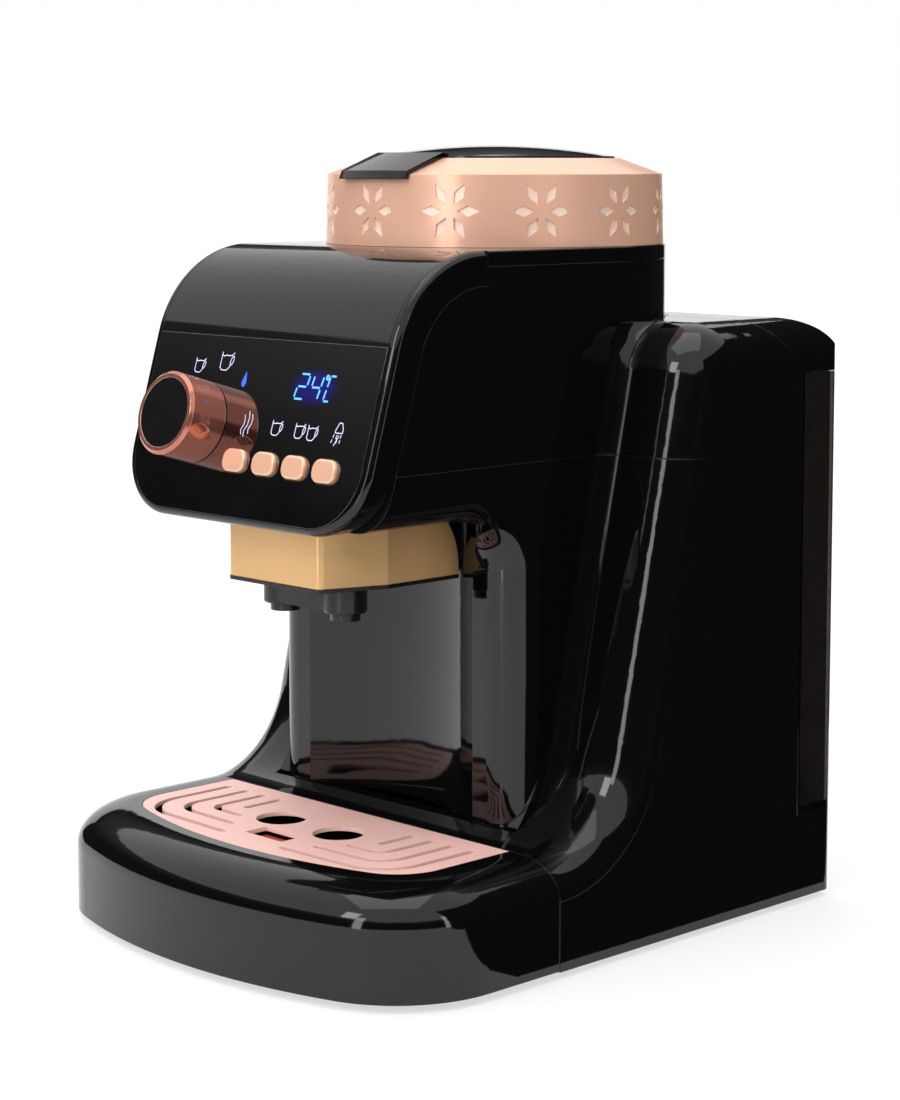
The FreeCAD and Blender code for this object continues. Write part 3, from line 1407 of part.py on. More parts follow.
board_top = -8.4
board_half, board_drop = 60.0, 63.0
board = Part.makeBox(2 * board_half, board_drop - 4, 1.6, Vec(-board_half, -board_drop, board_top - 1.6))
pieces = []
for x in (-board_half + 4, board_half - 4):
    for y in (-34, -8):
        post_height = -n.panel_thick - 0.05 - board_top
        pieces.append(Part.makeCylinder(2.5, post_height, Vec(x, y, board_top)))
switch_top = board_top + 2.2
for spot in button_spots:
    pieces.append(Part.makeBox(6, 6, switch_top - board_top, spot + Vec(-3, -3, board_top)))
pieces.append(Part.makeBox(24, 12, 3, Vec(-50, -24, board_top)))
sub_part(feature("ControlBoard", on_panel(board.fuse(pieces))), "control_board")

display_low = board_top + 0.05
display_spot = Vec(n.display_side - 18, -n.display_drop - 8.5, display_low)
display = Part.makeBox(36, 17, -n.panel_thick - 0.3 - display_low, display_spot)
sub_part(feature("Display", on_panel(display)), "display_module")

shaft_radius = 3.0
encoder = Part.makeBox(12, 12, 5, knob_spot + Vec(-6, -6, board_top + 0.05))
encoder = encoder.fuse(Part.makeCylinder(3.9, 7, knob_spot + Vec(0, 0, board_top + 4)))
encoder = encoder.cut(Part.makeCylinder(shaft_radius + 0.05, 40, knob_spot + Vec(0, 0, board_top + 1.5)))
sub_part(feature("Encoder", on_panel(encoder)), "encoder")


def on_knob(body):
    body.Placement = panel_place.multiply(FreeCAD.Placement(knob_spot, FreeCAD.Rotation()))
    return body


shaft_top = b.knob_length - 5
shaft = turned("KnobShaft", [
    (0, board_top + 2), (shaft_radius, board_top + 2), (shaft_radius, shaft_top), (0, shaft_top),
])
sub_part(on_knob(shaft), "knob_shaft")
disc_radius = b.knob_radius - 2.9
knob = turned("KnobBody", [
    (shaft_radius + 0.03, 0.4 + 4), (shaft_radius + 3, 4.4), (shaft_radius + 3, b.knob_length - 6),
    (b.knob_radius - 1.4, b.knob_length - 6), (b.knob_radius - 1.4, 0.4), (b.knob_radius, 0.4),
    (b.knob_radius, b.knob_length - 1.2), (b.knob_radius - 1.2, b.knob_length), (disc_radius, b.knob_length),
    (disc_radius, b.knob_length - 1.2), (shaft_radius + 0.03, b.knob_length - 1.2),
])
# an almond notch in the knob's side, behind the rim, marks where it points
notch_angle, notch_long, notch_wide, notch_depth = math.radians(-14), 9.4, 4.2, 0.9
notch_arc = (notch_long ** 2 + notch_wide ** 2) / (4 * notch_wide)
notch_out = Vec(math.cos(notch_angle), math.sin(notch_angle), 0)
notch_side = Z_AXIS.cross(notch_out) * (notch_arc - notch_wide / 2)
notch_middle = notch_out * (n.knob_radius - notch_depth) + Z_AXIS * (n.knob_length - 2.2 - notch_long / 2)
notch = Part.makeCylinder(notch_arc, 6, notch_middle + notch_side, notch_out)
notch = notch.common(Part.makeCylinder(notch_arc, 6, notch_middle - notch_side, notch_out))
notch_cut = on_knob(feature("PointerNotch", notch))
sub_part(cut("SelectorKnob", on_knob(knob), [notch_cut]), "selector_knob")
disc = turned("KnobDisc", [
    (0, b.knob_length - 1.15), (disc_radius - 0.05, b.knob_length - 1.15),
    (disc_radius - 0.05, b.knob_length - 0.15), (0, b.knob_length - 0.15),
])
sub_part(on_knob(disc), "knob_disc")

retainer_high = -n.panel_thick - 0.3
for index, spot in enumerate(button_spots, start=1):
    cap = button_block(0, retainer_high - 1, n.button_rise)
    cap = cap.makeFillet(1.1, [edge for edge in cap.Edges if edge.BoundBox.ZMin > n.button_rise - 0.01])
    retainer = button_block(-0.4, retainer_high - 2, retainer_high, wider=3.0)
    button = cap.fuse(retainer)
    button.translate(spot)
    sub_part(feature(f"Button{index}", on_panel(one(button))), f"button_{index}")

# Water circuit and electrics inside the housing
heater_low = 118.0
heater_back = upright_back - plate - 0.05
heater = Part.makeBox(50, 26, 62, Vec(-54, heater_back - 26, heater_low))
ports = [Vec(-40, heater_back - 13, heater_low - 6), Vec(-18, heater_back - 13, heater_low - 6)]
heater = heater.fuse([Part.makeCylinder(3.0, 6.2, port) for port in ports])
sub_part(feature("Thermoblock", heater), "thermoblock")
valve_box = Part.makeBox(24, 22, 24, Vec(-42, heater_back - 24, heater_low + 62.05))
valve_box = valve_box.fuse(Part.makeCylinder(3.0, 6, Vec(-30, heater_back - 13, heater_low + 86)))
sub_part(feature("SolenoidValve", valve_box), "solenoid_valve")
pump_x, pump_z = 84.0, 30.0
pump = Part.makeCylinder(17, 62, Vec(pump_x, 20, pump_z), Y_AXIS)
pump = pump.fuse([
    Part.makeBox(26, 40, 12, Vec(pump_x - 13, 30, floor_top + 0.05)),
    Part.makeCylinder(3.0, 8, Vec(pump_x, 81, pump_z), Y_AXIS),
    Part.makeCylinder(3.0, 8, Vec(pump_x, 13, pump_z), Y_AXIS),
])
sub_part(feature("WaterPump", pump), "water_pump")
meter_x, meter_y = 45.0, 94.0
meter = Part.makeCylinder(13, 18, Vec(meter_x, meter_y, floor_top + 0.05))
meter = meter.fuse([
    Part.makeCylinder(3.0, 6, Vec(meter_x + 12, meter_y, floor_top + 10), X_AXIS),
    Part.makeCylinder(3.0, 6, Vec(meter_x - 18, meter_y, floor_top + 10), X_AXIS),
])
sub_part(feature("FlowMeter", meter), "flow_meter")
seat_low = n.tank_foot - 8
seat = turned("TankSeat", [
    (0, seat_low), (9.8, seat_low), (9.8, b.tank_foot - 3.05), (7.2, b.tank_foot - 3.05),
    (7.2, b.tank_foot - 0.2), (5, b.tank_foot - 0.2), (5, b.tank_foot - 5.5), (1.5, b.tank_foot - 5.5),
    (1.5, b.tank_foot + 1.0), (0, b.tank_foot + 1.0),
])
sub_part(place(seat, x=port_x, y=port_y), "tank_seat")
hose_level = 16.0
heater_y = heater_back - 13
brew_top = n.head_under + 22.1
hose_high = 218.0
HOSES = {
    "hose_tank": [
        (port_x, port_y, seat_low - 0.1), (port_x, port_y, hose_level), (meter_x - 28, port_y, hose_level),
        (meter_x - 28, meter_y, hose_level), (meter_x - 18.1, meter_y, hose_level),
    ],
    "hose_pump": [
        (meter_x + 18.1, meter_y, hose_level), (pump_x, meter_y, hose_level),
        (pump_x, meter_y + 13, hose_level), (pump_x, meter_y + 13, pump_z), (pump_x, 89.1, pump_z),
    ],
    "hose_heater": [
        (pump_x, 12.9, pump_z), (pump_x, -8, pump_z), (-18, -8, pump_z), (-18, heater_y, pump_z),
        (-18, heater_y, heater_low - 6.1),
    ],
    "hose_brew": [
        (-30, heater_y, heater_low + 92.1), (-30, heater_y, hose_high), (-30, brew_y, hose_high),
        (0, brew_y, hose_high), (0, brew_y, brew_top),
    ],
}
for label, points in HOSES.items():
    sub_part(feature(label.title().replace("_", ""), hose(points, 3.5, 1.2)), label)

circuit = Part.makeBox(50, 80, 1.6, Vec(-108, -5, floor_top + 6))
parts_on_it = [Part.makeCylinder(3, 5.95, Vec(x, y, floor_top + 0.05)) for x in (-103, -63) for y in (0, 70)]
parts_on_it += [
    Part.makeBox(16, 20, 14, Vec(-104, 8, floor_top + 7.6)),
    Part.makeBox(18, 14, 10, Vec(-82, 10, floor_top + 7.6)),
    Part.makeCylinder(7, 22, Vec(-94, 48, floor_top + 7.6)),
    Part.makeBox(10, 30, 8, Vec(-75, 38, floor_top + 7.6)),
]
sub_part(feature("MainBoard", circuit.fuse(parts_on_it)), "main_board")

inlet_back = n.base_rear - 0.2
inlet = block(
    (inlet_x - inlet_wide / 2, n.base_rear - 16, inlet_z - inlet_tall / 2),
    (inlet_x + inlet_wide / 2, inlet_back, inlet_z + inlet_tall / 2),
)
inlet = inlet.fuse(block(
    (inlet_x - inlet_wide / 2 - 4, n.base_rear - n.shell_wall - 2.1, inlet_z - inlet_tall / 2 - 3),
    (inlet_x + inlet_wide / 2 + 4, n.base_rear - n.shell_wall - 0.1, inlet_z + inlet_tall / 2 + 3),
))
inlet = inlet.cut(block(
    (inlet_x - inlet_wide / 2 + 1.5, n.base_rear - 14, inlet_z - inlet_tall / 2 + 1.5),
    (inlet_x + inlet_wide / 2 - 1.5, FAR, inlet_z + inlet_tall / 2 - 1.5),
))
inlet_pins = [
    Part.makeBox(2, 11, 4, Vec(inlet_x + x - 1, n.base_rear - 15, inlet_z + z - 2))
    for x, z in ((-7, -1), (0, 3), (7, -1))
]
sub_part(feature("PowerInlet", inlet.fuse(inlet_pins)), "power_inlet")

# Every object is sound before any file is written
doc.recompute()
faulty = [item.Name for item in doc.Objects if {"Invalid", "Error"} & set(item.State)]
for made in parts:
    if made.Shape.isNull() or not made.Shape.isValid() or not made.Shape.Solids:
        faulty.append(made.Label)
    print(made.Label, round(made.Shape.Volume), len(made.Shape.Solids))
if faulty:
    raise RuntimeError("not sound: " + ", ".join(faulty))

os.makedirs("parts", exist_ok=True)
for made in parts:
    made.Shape.exportStep(f"parts/{made.Label}.step")
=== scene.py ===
import bpy
import bmesh
import math
from mathutils import Matrix, Vector


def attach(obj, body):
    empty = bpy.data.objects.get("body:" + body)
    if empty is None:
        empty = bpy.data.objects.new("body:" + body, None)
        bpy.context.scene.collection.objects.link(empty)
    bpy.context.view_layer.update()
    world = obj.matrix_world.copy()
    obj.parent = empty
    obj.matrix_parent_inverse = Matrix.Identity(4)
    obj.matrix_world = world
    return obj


# Countertop coffee machine: black gloss body, bean hopper in a copper ring, leaning control
# panel with a copper knob and buttons, brew holder in a gold band, drip tray with a pink-gold
# grille and a smoked water tank at the back. Metres, +Z up, -Y is the front.
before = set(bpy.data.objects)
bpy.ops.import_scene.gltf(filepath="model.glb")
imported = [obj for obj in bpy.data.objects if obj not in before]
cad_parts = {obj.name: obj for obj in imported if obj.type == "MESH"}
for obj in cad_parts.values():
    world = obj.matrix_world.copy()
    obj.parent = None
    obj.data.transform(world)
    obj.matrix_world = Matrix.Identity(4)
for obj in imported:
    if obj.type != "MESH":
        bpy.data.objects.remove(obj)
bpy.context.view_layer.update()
scene = bpy.context.scene
MM = 0.001

# Base plate
# An injection-moulded ABS plate that closes the body from below, screwed up into four posts.
# Its mould was spark-eroded, which leaves a fine matt grain.


def linear(srgb):
    """The linear colour that a shader takes, from an sRGB hex value."""
    parts = [int(srgb[start:start + 2], 16) / 255 for start in (1, 3, 5)]
    return [v / 12.92 if v <= 0.04045 else ((v + 0.055) / 1.055) ** 2.4 for v in parts] + [1.0]


def add(tree, kind, settings=None, links=None):
    """Adds one shader node, sets its properties and inputs, and links its other inputs."""
    made = tree.nodes.new(kind)
    for name, value in (settings or {}).items():
        if isinstance(name, int) or name in made.inputs:
            made.inputs[name].default_value = value
        else:
            setattr(made, name, value)
    for name, source in (links or {}).items():
        tree.links.new(source, made.inputs[name])
    return made


def start_material(name, srgb, roughness, **sockets):
    """A material with one principled shader; gives the material, its tree, shader and position."""
    material = bpy.data.materials.new(name)
    material.use_nodes = True
    tree = material.node_tree
    shader = tree.nodes["Principled BSDF"]
    shader.inputs["Base Color"].default_value = linear(srgb)
    shader.inputs["Roughness"].default_value = roughness
    for socket, value in sockets.items():
        shader.inputs[socket.replace("_", " ")].default_value = value
    where = add(tree, "ShaderNodeTexCoord").outputs["Object"]
    return material, tree, shader, where


def cycles_per_metre(millimetres):
    """The scale of a pattern whose features are this far apart."""
    return 1.0 / (millimetres * MM)


def vary(tree, where, size_mm, low, high, detail=3.0):
    """A soft value between low and high that wanders over size_mm."""
    cloud = add(
        tree, "ShaderNodeTexNoise", {"Scale": cycles_per_metre(size_mm), "Detail": detail},
        {"Vector": where},
    )
    spread = add(
        tree, "ShaderNodeMapRange",
        {"From Min": 0.3, "From Max": 0.7, "To Min": low, "To Max": high},
        {"Value": cloud.outputs["Fac"]},
    )
    return spread.outputs["Result"]


def stretched(tree, where, scale, rotation=(0, 0, 0)):
    """The position with a pattern drawn out along the axes whose scale is below 1."""
    mapping = add(tree, "ShaderNodeMapping", {"Scale": scale, "Rotation": rotation}, {"Vector": where})
    return mapping.outputs["Vector"]


def soft_edge(tree, radius_mm):
    """The normal of a rounded edge and a mask of the edge, from 0 on flats to 1, used for edge wear and
    for painted glints.
    """
    rounded = add(tree, "ShaderNodeBevel", {"samples": 4, "Radius": radius_mm * MM})
    flat = add(tree, "ShaderNodeNewGeometry")
    likeness = add(
        tree, "ShaderNodeVectorMath", {"operation": "DOT_PRODUCT"},
        {0: rounded.outputs["Normal"], 1: flat.outputs["Normal"]},
    )
    edge_wear_and_glint = add(
        tree, "ShaderNodeMapRange", {"From Min": 0.99, "From Max": 0.85, "To Min": 0.0, "To Max": 1.0},
        {"Value": likeness.outputs["Value"]},
    )
    return rounded.outputs["Normal"], edge_wear_and_glint.outputs["Result"]


def relief(tree, shader, height, depth_mm, normal=None):
    """Bump of a real depth on the shader."""
    links = {"Height": height}
    if normal is not None:
        links["Normal"] = normal
    bump = add(tree, "ShaderNodeBump", {"Strength": 1.0, "Distance": depth_mm * MM}, links)
    tree.links.new(bump.outputs["Normal"], shader.inputs["Normal"])


def coat(material, *nodes):
    """Gives carried-over parts their material."""
    for node in nodes:
        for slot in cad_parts[node].material_slots:
            slot.material = material


# ABS, spark-eroded mould: matt black with a grain 0.3 mm apart, drawn at 0.5 mm so that it shows
abs_grained, tree, shader, where = start_material("abs_spark_eroded", "#1c1c1d", 0.55)
grain = vary(tree, where, 0.5, 0.0, 1.0, detail=2.0)
rounded, _ = soft_edge(tree, 0.4)
relief(tree, shader, grain, 0.04, rounded)
tree.links.new(vary(tree, where, 14.0, 0.48, 0.62), shader.inputs["Roughness"])
coat(abs_grained, "base_plate", "power_inlet")

# Feet and base screws
# Four pads of moulded rubber pushed through holes in the plate, and four zinc-plated screws.

# Moulded rubber: dull dark grey, a little dusty where it rubs the worktop
rubber, tree, shader, where = start_material("rubber_moulded", "#232221", 0.75)
dust = vary(tree, where, 2.5, 0.0, 1.0, detail=6.0)
dusty = add(
    tree, "ShaderNodeMix", {"data_type": "RGBA", 6: linear("#1d1c1b"), 7: linear("#34322f")}, {0: dust}
)
tree.links.new(dusty.outputs[2], shader.inputs["Base Color"])
relief(tree, shader, vary(tree, where, 0.6, 0.0, 1.0), 0.03)
coat(rubber, "rubber_feet")

# Zinc-plated mild steel: grey with a bluish cast, fine rolling marks and small dull patches
zinc_steel, tree, shader, where = start_material("steel_zinc_plated", "#b4b7ba", 0.34, Metallic=1.0)
stretch = stretched(tree, where, (1.0, 1.0, 0.06))
relief(tree, shader, vary(tree, stretch, 0.4, 0.0, 1.0), 0.01)
tree.links.new(vary(tree, where, 6.0, 0.26, 0.46), shader.inputs["Roughness"])
coat(zinc_steel, "base_screws", "chassis", "knob_shaft", "holder_guides")

# Outer body
# The rear housing, the deck with its fenders, the column with the lower head, the upper head,
# the top cover and the drip tray are ABS shells from polished moulds, parted by hairline seams.

# ABS, mirror-polished mould: deep black, sharp reflections with a faint long ripple, hazy edges
abs_gloss, tree, shader, where = start_material(
    "abs_mirror_polished", "#070708", 0.05, Specular_IOR_Level=0.5
)
rounded, edge_wear_and_glint = soft_edge(tree, 0.5)
ripple = vary(tree, where, 9.0, 0.0, 1.0, detail=1.0)
relief(tree, shader, ripple, 0.012, rounded)
haze = vary(tree, where, 30.0, 0.035, 0.075, detail=5.0)
scuffed = add(tree, "ShaderNodeMath", {"operation": "MULTIPLY_ADD", 1: 0.12}, {0: edge_wear_and_glint, 2: haze})
tree.links.new(scuffed.outputs["Value"], shader.inputs["Roughness"])
edge_tint = add(
    tree, "ShaderNodeMix", {"data_type": "RGBA", 6: linear("#070708"), 7: linear("#141415")}, {0: edge_wear_and_glint}
)
tree.links.new(edge_tint.outputs[2], shader.inputs["Base Color"])
coat(
    abs_gloss, "rear_housing", "fender_cover", "column_shell", "head_shell", "top_cover", "drip_tray",
    "panel_frame", "tank_lid", "hopper_lid",
)

# Control panel
# A brow cover and a flat front of black acrylic, back-printed, glued into the leaning frame.
# The lit signs and the display shine through it.
PANEL_LEAN = math.radians(16.5)
PANEL_ORIGIN = Vector((0, -90.0, 257.2))
PANEL_UP = Vector((0, math.sin(PANEL_LEAN), math.cos(PANEL_LEAN)))
PANEL_OUT = Vector((0, -math.cos(PANEL_LEAN), math.sin(PANEL_LEAN)))
DISPLAY_MIDDLE = (33.8, -18.7)
GLOW_REACH = (15.5, 8.5, 8.5)


def on_panel(x, y, out=0.0):
    """A point given in millimetres on the leaning panel: to the right, up and out of it."""
    spot = PANEL_ORIGIN + Vector((x, 0, 0)) + PANEL_UP * y + PANEL_OUT * out
    return spot * MM


# Acrylic sheet, cast and polished: black with a sharp, clean shine over the brow
acrylic, tree, shader, where = start_material("acrylic_back_printed", "#0c0b0b", 0.05)
rounded, _ = soft_edge(tree, 0.3)
wiping = stretched(tree, where, (1.0, 0.1, 0.1), (0, 0.5, 0))
relief(tree, shader, vary(tree, wiping, 1.2, 0.0, 1.0), 0.0015, rounded)
tree.links.new(vary(tree, where, 22.0, 0.04, 0.09), shader.inputs["Roughness"])
coat(acrylic, "brow_cover")

# Half-mirror film under the acrylic: a dark mirror that repeats the knob and the buttons, with
# a blue glow round the lit figures
half_mirror, tree, shader, where = start_material("acrylic_half_mirror", "#8d8b8c", 0.06, Metallic=1.0)
rounded, _ = soft_edge(tree, 0.3)
relief(tree, shader, vary(tree, where, 60.0, 0.0, 1.0, detail=1.0), 0.01, rounded)
tree.links.new(vary(tree, where, 22.0, 0.03, 0.08), shader.inputs["Roughness"])
glow_from = add(
    tree, "ShaderNodeVectorMath", {"operation": "SUBTRACT", 1: on_panel(*DISPLAY_MIDDLE)}, {0: where}
)
glow_scaled = add(
    tree, "ShaderNodeVectorMath", {"operation": "DIVIDE", 1: [half * MM for half in GLOW_REACH]},
    {0: glow_from.outputs["Vector"]},
)
glow_reach = add(
    tree, "ShaderNodeVectorMath", {"operation": "LENGTH"}, {0: glow_scaled.outputs["Vector"]}
)
glow = add(
    tree, "ShaderNodeMapRange",
    {"interpolation_type": "SMOOTHERSTEP", "From Min": 1.1, "From Max": 0.3,
     "To Min": 0.0, "To Max": 0.16},
    {"Value": glow_reach.outputs["Value"]},
)
shader.inputs["Emission Color"].default_value = linear("#2420ff")
tree.links.new(glow.outputs["Result"], shader.inputs["Emission Strength"])
coat(half_mirror, "control_panel")


def ribbons(name, strokes, width, out):
    """Flat printed lines: each stroke is a list of panel points in millimetres."""
    mesh = bpy.data.meshes.new(name)
    build = bmesh.new()
    for stroke in strokes:
        closed = stroke[0] == stroke[-1]
        points = [Vector(point) for point in (stroke[:-1] if closed else stroke)]
        rails = []
        for index, point in enumerate(points):
            before = points[index - 1] if index or closed else None
            after = points[(index + 1) % len(points)] if index < len(points) - 1 or closed else None
            ways = [way.normalized() for way in (
                point - before if before is not None else None,
                after - point if after is not None else None,
            ) if way is not None]
            along = sum(ways, Vector((0, 0))).normalized()
            side = Vector((-along.y, along.x))
            stretch = min(1.8, 1.0 / max(0.4, side.dot(Vector((-ways[0].y, ways[0].x)))))
            step = side * (width / 2 * stretch)
            rails.append([
                build.verts.new(on_panel(*(point + step), out)),
                build.verts.new(on_panel(*(point - step), out)),
            ])
        pairs = list(zip(rails, rails[1:])) + ([(rails[-1], rails[0])] if closed else [])
        for (left, right), (next_left, next_right) in pairs:
            build.faces.new((left, right, next_right, next_left))
    build.to_mesh(mesh)
    build.free()
    made = bpy.data.objects.new(name, mesh)
    scene.collection.objects.link(made)
    return made


def shifted(strokes, x, y, half_wide, half_tall):
    """A sign's strokes at its place and size on the panel, in millimetres."""
    return [[(x + u * half_wide, y + v * half_tall) for u, v in stroke] for stroke in strokes]


def oval(x, y, half_wide, half_tall, lean=0.0, count=14):
    """A closed stroke round a point, leaning to the left by an angle."""
    ring = []
    for index in range(count):
        angle = 2 * math.pi * index / count
        u, v = half_wide * math.cos(angle), half_tall * math.sin(angle)
        ring.append((
            x + u * math.cos(lean) - v * math.sin(lean), y + u * math.sin(lean) + v * math.cos(lean)
        ))
    return ring + ring[:1]


# strokes of the signs, in half widths and half heights from each sign's middle
SIGN_LINE, PRINT_OUT = 0.34, 0.06
CUP = [
    [(-0.88, 1.0), (-0.92, -0.72), (-0.62, -1.0), (0.12, -1.0), (0.5, -0.62), (0.56, -0.05)],
    [(-0.86, 0.66), (-0.55, 0.52), (-0.2, 0.66), (0.2, 0.6), (0.6, 0.66), (0.92, 0.96)],
    oval(0.74, 0.08, 0.2, 0.52, lean=-0.25),
]
STEAM = [
    [(-0.8, -0.85), (-0.95, -0.5), (-0.55, -0.05), (-0.5, 0.35), (-0.68, 0.7)],
    [(-0.3, -1.0), (-0.35, -0.55), (0.15, -0.05), (0.25, 0.5), (0.1, 1.0)],
    [(0.5, -0.75), (0.42, -0.4), (0.85, 0.05), (0.9, 0.45), (0.72, 0.8)],
]
SHOWER = [
    [(0.05, 0.98), (0.5, 0.98), (0.8, 0.45), (0.78, 0.12), (-0.4, 0.12), (-0.42, 0.3), (0.05, 0.98)],
    [(-0.5, -0.02), (-0.62, -0.3)], [(-0.68, -0.45), (-0.82, -0.75)],
    [(0.02, -0.02), (-0.12, -0.35), (0.12, -0.35), (-0.3, -0.98)],
    [(0.3, -0.1), (0.18, -0.35)], [(0.12, -0.5), (0.0, -0.75)],
    [(0.62, -0.02), (0.6, -0.3)], [(0.58, -0.45), (0.55, -0.75)],
]
signs = (
    shifted(CUP, -40.9, -13.5, 3.4, 3.1) + shifted(CUP, -23.9, -10.9, 4.3, 3.9)
    + shifted(STEAM, -2.8, -36.4, 3.3, 5.4) + shifted(CUP, 16.3, -36.7, 3.4, 3.1)
    + shifted(CUP, 30.6, -36.9, 3.2, 3.1) + shifted(CUP, 38.3, -37.2, 3.2, 3.1)
    + shifted(SHOWER, 53.1, -36.7, 3.6, 4.8)
)
printed_signs = ribbons("panel_signs", signs, SIGN_LINE, PRINT_OUT)

# Screen-printed ink, lit from behind: cool white, a little uneven along each line
sign_ink, tree, shader, where = start_material("ink_screen_printed", "#cfcbe8", 0.4)
shader.inputs["Emission Color"].default_value = linear("#c9c2f2")
tree.links.new(vary(tree, where, 1.5, 0.35, 0.6), shader.inputs["Emission Strength"])
printed_signs.data.materials.append(sign_ink)
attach(printed_signs, "machine")

# Water sign: a drop lit blue
DROP = [
    (0, 1.0), (0.38, 0.1), (0.62, -0.4), (0.42, -0.85),
    (0, -1.0), (-0.42, -0.85), (-0.62, -0.4), (-0.38, 0.1),
]
DROP_MIDDLE, DROP_HALF, DROP_LEAN = (-10.2, -17.8), (2.3, 3.4), 0.4
drop_points = [
    on_panel(
        DROP_MIDDLE[0] + DROP_LEAN * v + u * DROP_HALF[0], DROP_MIDDLE[1] + v * DROP_HALF[1], PRINT_OUT
    )
    for u, v in DROP
]
drop_mesh = bpy.data.meshes.new("water_sign")
drop_mesh.from_pydata(drop_points, [], [tuple(range(len(drop_points)))])
water_sign = bpy.data.objects.new("water_sign", drop_mesh)
scene.collection.objects.link(water_sign)

# Light guide: deep blue, a little uneven in brightness
lit_blue, tree, shader, where = start_material("light_guide_blue", "#2f5bff", 0.3)
shader.inputs["Emission Color"].default_value = linear("#2747ff")
tree.links.new(vary(tree, where, 4.0, 0.8, 1.2), shader.inputs["Emission Strength"])
drop_mesh.materials.append(lit_blue)
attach(water_sign, "machine")

# Display
# A seven-bar display that shows a water temperature of 24 degrees Celsius, behind the panel.
DIGIT_WIDE, DIGIT_TALL, DIGIT_PITCH, DIGIT_LEAN = 5.6, 10.4, 8.4, 0.2
FIGURES_HALF_WIDE, BAR_WIDE, NARROW_LETTER = 11.4, 0.8, 0.62
BARS = {
    "top": ((0.08, 1), (0.92, 1)), "middle": ((0.08, 0.5), (0.92, 0.5)), "foot": ((0.08, 0), (0.92, 0)),
    "high_left": ((0, 0.93), (0, 0.57)), "high_right": ((1, 0.93), (1, 0.57)),
    "low_left": ((0, 0.43), (0, 0.07)), "low_right": ((1, 0.43), (1, 0.07)),
}
FIGURES = [
    (0, "top high_right middle low_left foot"),
    (1, "high_left middle high_right low_right"),
    (2.12, "top high_left low_left foot"),
]
bars = []
left, low = DISPLAY_MIDDLE[0] - FIGURES_HALF_WIDE, DISPLAY_MIDDLE[1] - DIGIT_TALL / 2
for place, names in FIGURES:
    for bar in names.split():
        wide = DIGIT_WIDE * (NARROW_LETTER if place > 2 else 1.0)
        bars.append([
            (left + place * DIGIT_PITCH + u * wide + v * DIGIT_TALL * DIGIT_LEAN, low + v * DIGIT_TALL)
            for u, v in BARS[bar]
        ])
degree_x = left + 1.92 * DIGIT_PITCH + DIGIT_TALL * DIGIT_LEAN
bars.append(oval(degree_x, low + DIGIT_TALL - 0.7, 0.8, 0.8, count=10))
figures = ribbons("display_figures", bars, BAR_WIDE, PRINT_OUT + 0.01)

# Light guide behind a diffuser: pale blue and brighter than all else on the panel
lit_pale, tree, shader, where = start_material("light_guide_pale_blue", "#5c9cff", 0.3)
shader.inputs["Emission Color"].default_value = linear("#3f8cff")
tree.links.new(vary(tree, where, 3.0, 1.0, 1.5), shader.inputs["Emission Strength"])
figures.data.materials.append(lit_pale)
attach(figures, "machine")

# Filter glass of the display module: nearly black with a blue cast
filter_glass, tree, shader, where = start_material("glass_filter_blue", "#05060f", 0.08)
relief(tree, shader, vary(tree, where, 5.0, 0.0, 1.0), 0.004)
tree.links.new(vary(tree, where, 9.0, 0.06, 0.12), shader.inputs["Roughness"])
coat(filter_glass, "display_module")

# Knob and push buttons
# ABS caps plated with copper and polished; the knob has an acrylic disc pressed into its face.

# Copper plating on ABS, polished: reddish where it reflects dark things, faint turning marks, and a
# painted highlight: the rounded rims are tinted a pale, near-white copper as if they caught a bright
# reflection
copper_polished, tree, shader, where = start_material(
    "copper_plated_polished", "#c9866e", 0.2, Metallic=0.75
)
rounded, edge_wear_and_glint = soft_edge(tree, 0.4)
relief(tree, shader, vary(tree, where, 3.0, 0.0, 1.0), 0.004, rounded)
rubbed = vary(tree, where, 7.0, 0.12, 0.2, detail=5.0)
tree.links.new(rubbed, shader.inputs["Roughness"])
# painted highlight: the knob's rounded rims are tinted pale copper, close to white
plated = add(
    tree, "ShaderNodeMix", {"data_type": "RGBA", 6: linear("#bd7664"), 7: linear("#ffe0cb")}, {0: edge_wear_and_glint}
)
tree.links.new(plated.outputs[2], shader.inputs["Base Color"])
coat(copper_polished, "selector_knob")

# Copper plating, bright: the button faces are paler than the knob
copper_bright, tree, shader, where = start_material("copper_plated_bright", "#f8c2a2", 0.2, Metallic=0.4)
rounded, _ = soft_edge(tree, 0.5)
relief(tree, shader, vary(tree, where, 2.0, 0.0, 1.0), 0.003, rounded)
tree.links.new(vary(tree, where, 5.0, 0.16, 0.26), shader.inputs["Roughness"])
coat(copper_bright, "button_1", "button_2", "button_3", "button_4")

# Acrylic disc, cast and polished: black with a soft smear of finger marks
acrylic_disc, tree, shader, where = start_material("acrylic_disc", "#101012", 0.12)
tree.links.new(vary(tree, where, 8.0, 0.08, 0.22, detail=6.0), shader.inputs["Roughness"])
relief(tree, shader, vary(tree, where, 1.4, 0.0, 1.0), 0.001)
coat(acrylic_disc, "knob_disc")

# Hopper ring
# Spun and stamped sheet with a satin copper plating; twelve stars of six rhombi are cut into it,
# and the cut faces keep a paler, sandblasted surface.
RING_Y, RING_RADIUS, RING_DRAFT = 42.0, 75.2, 0.9
WALL_FOOT, WALL_TOP, STAR_LIMIT, CUT_MARGIN = 294.5, 324.6, 322.5, 0.25

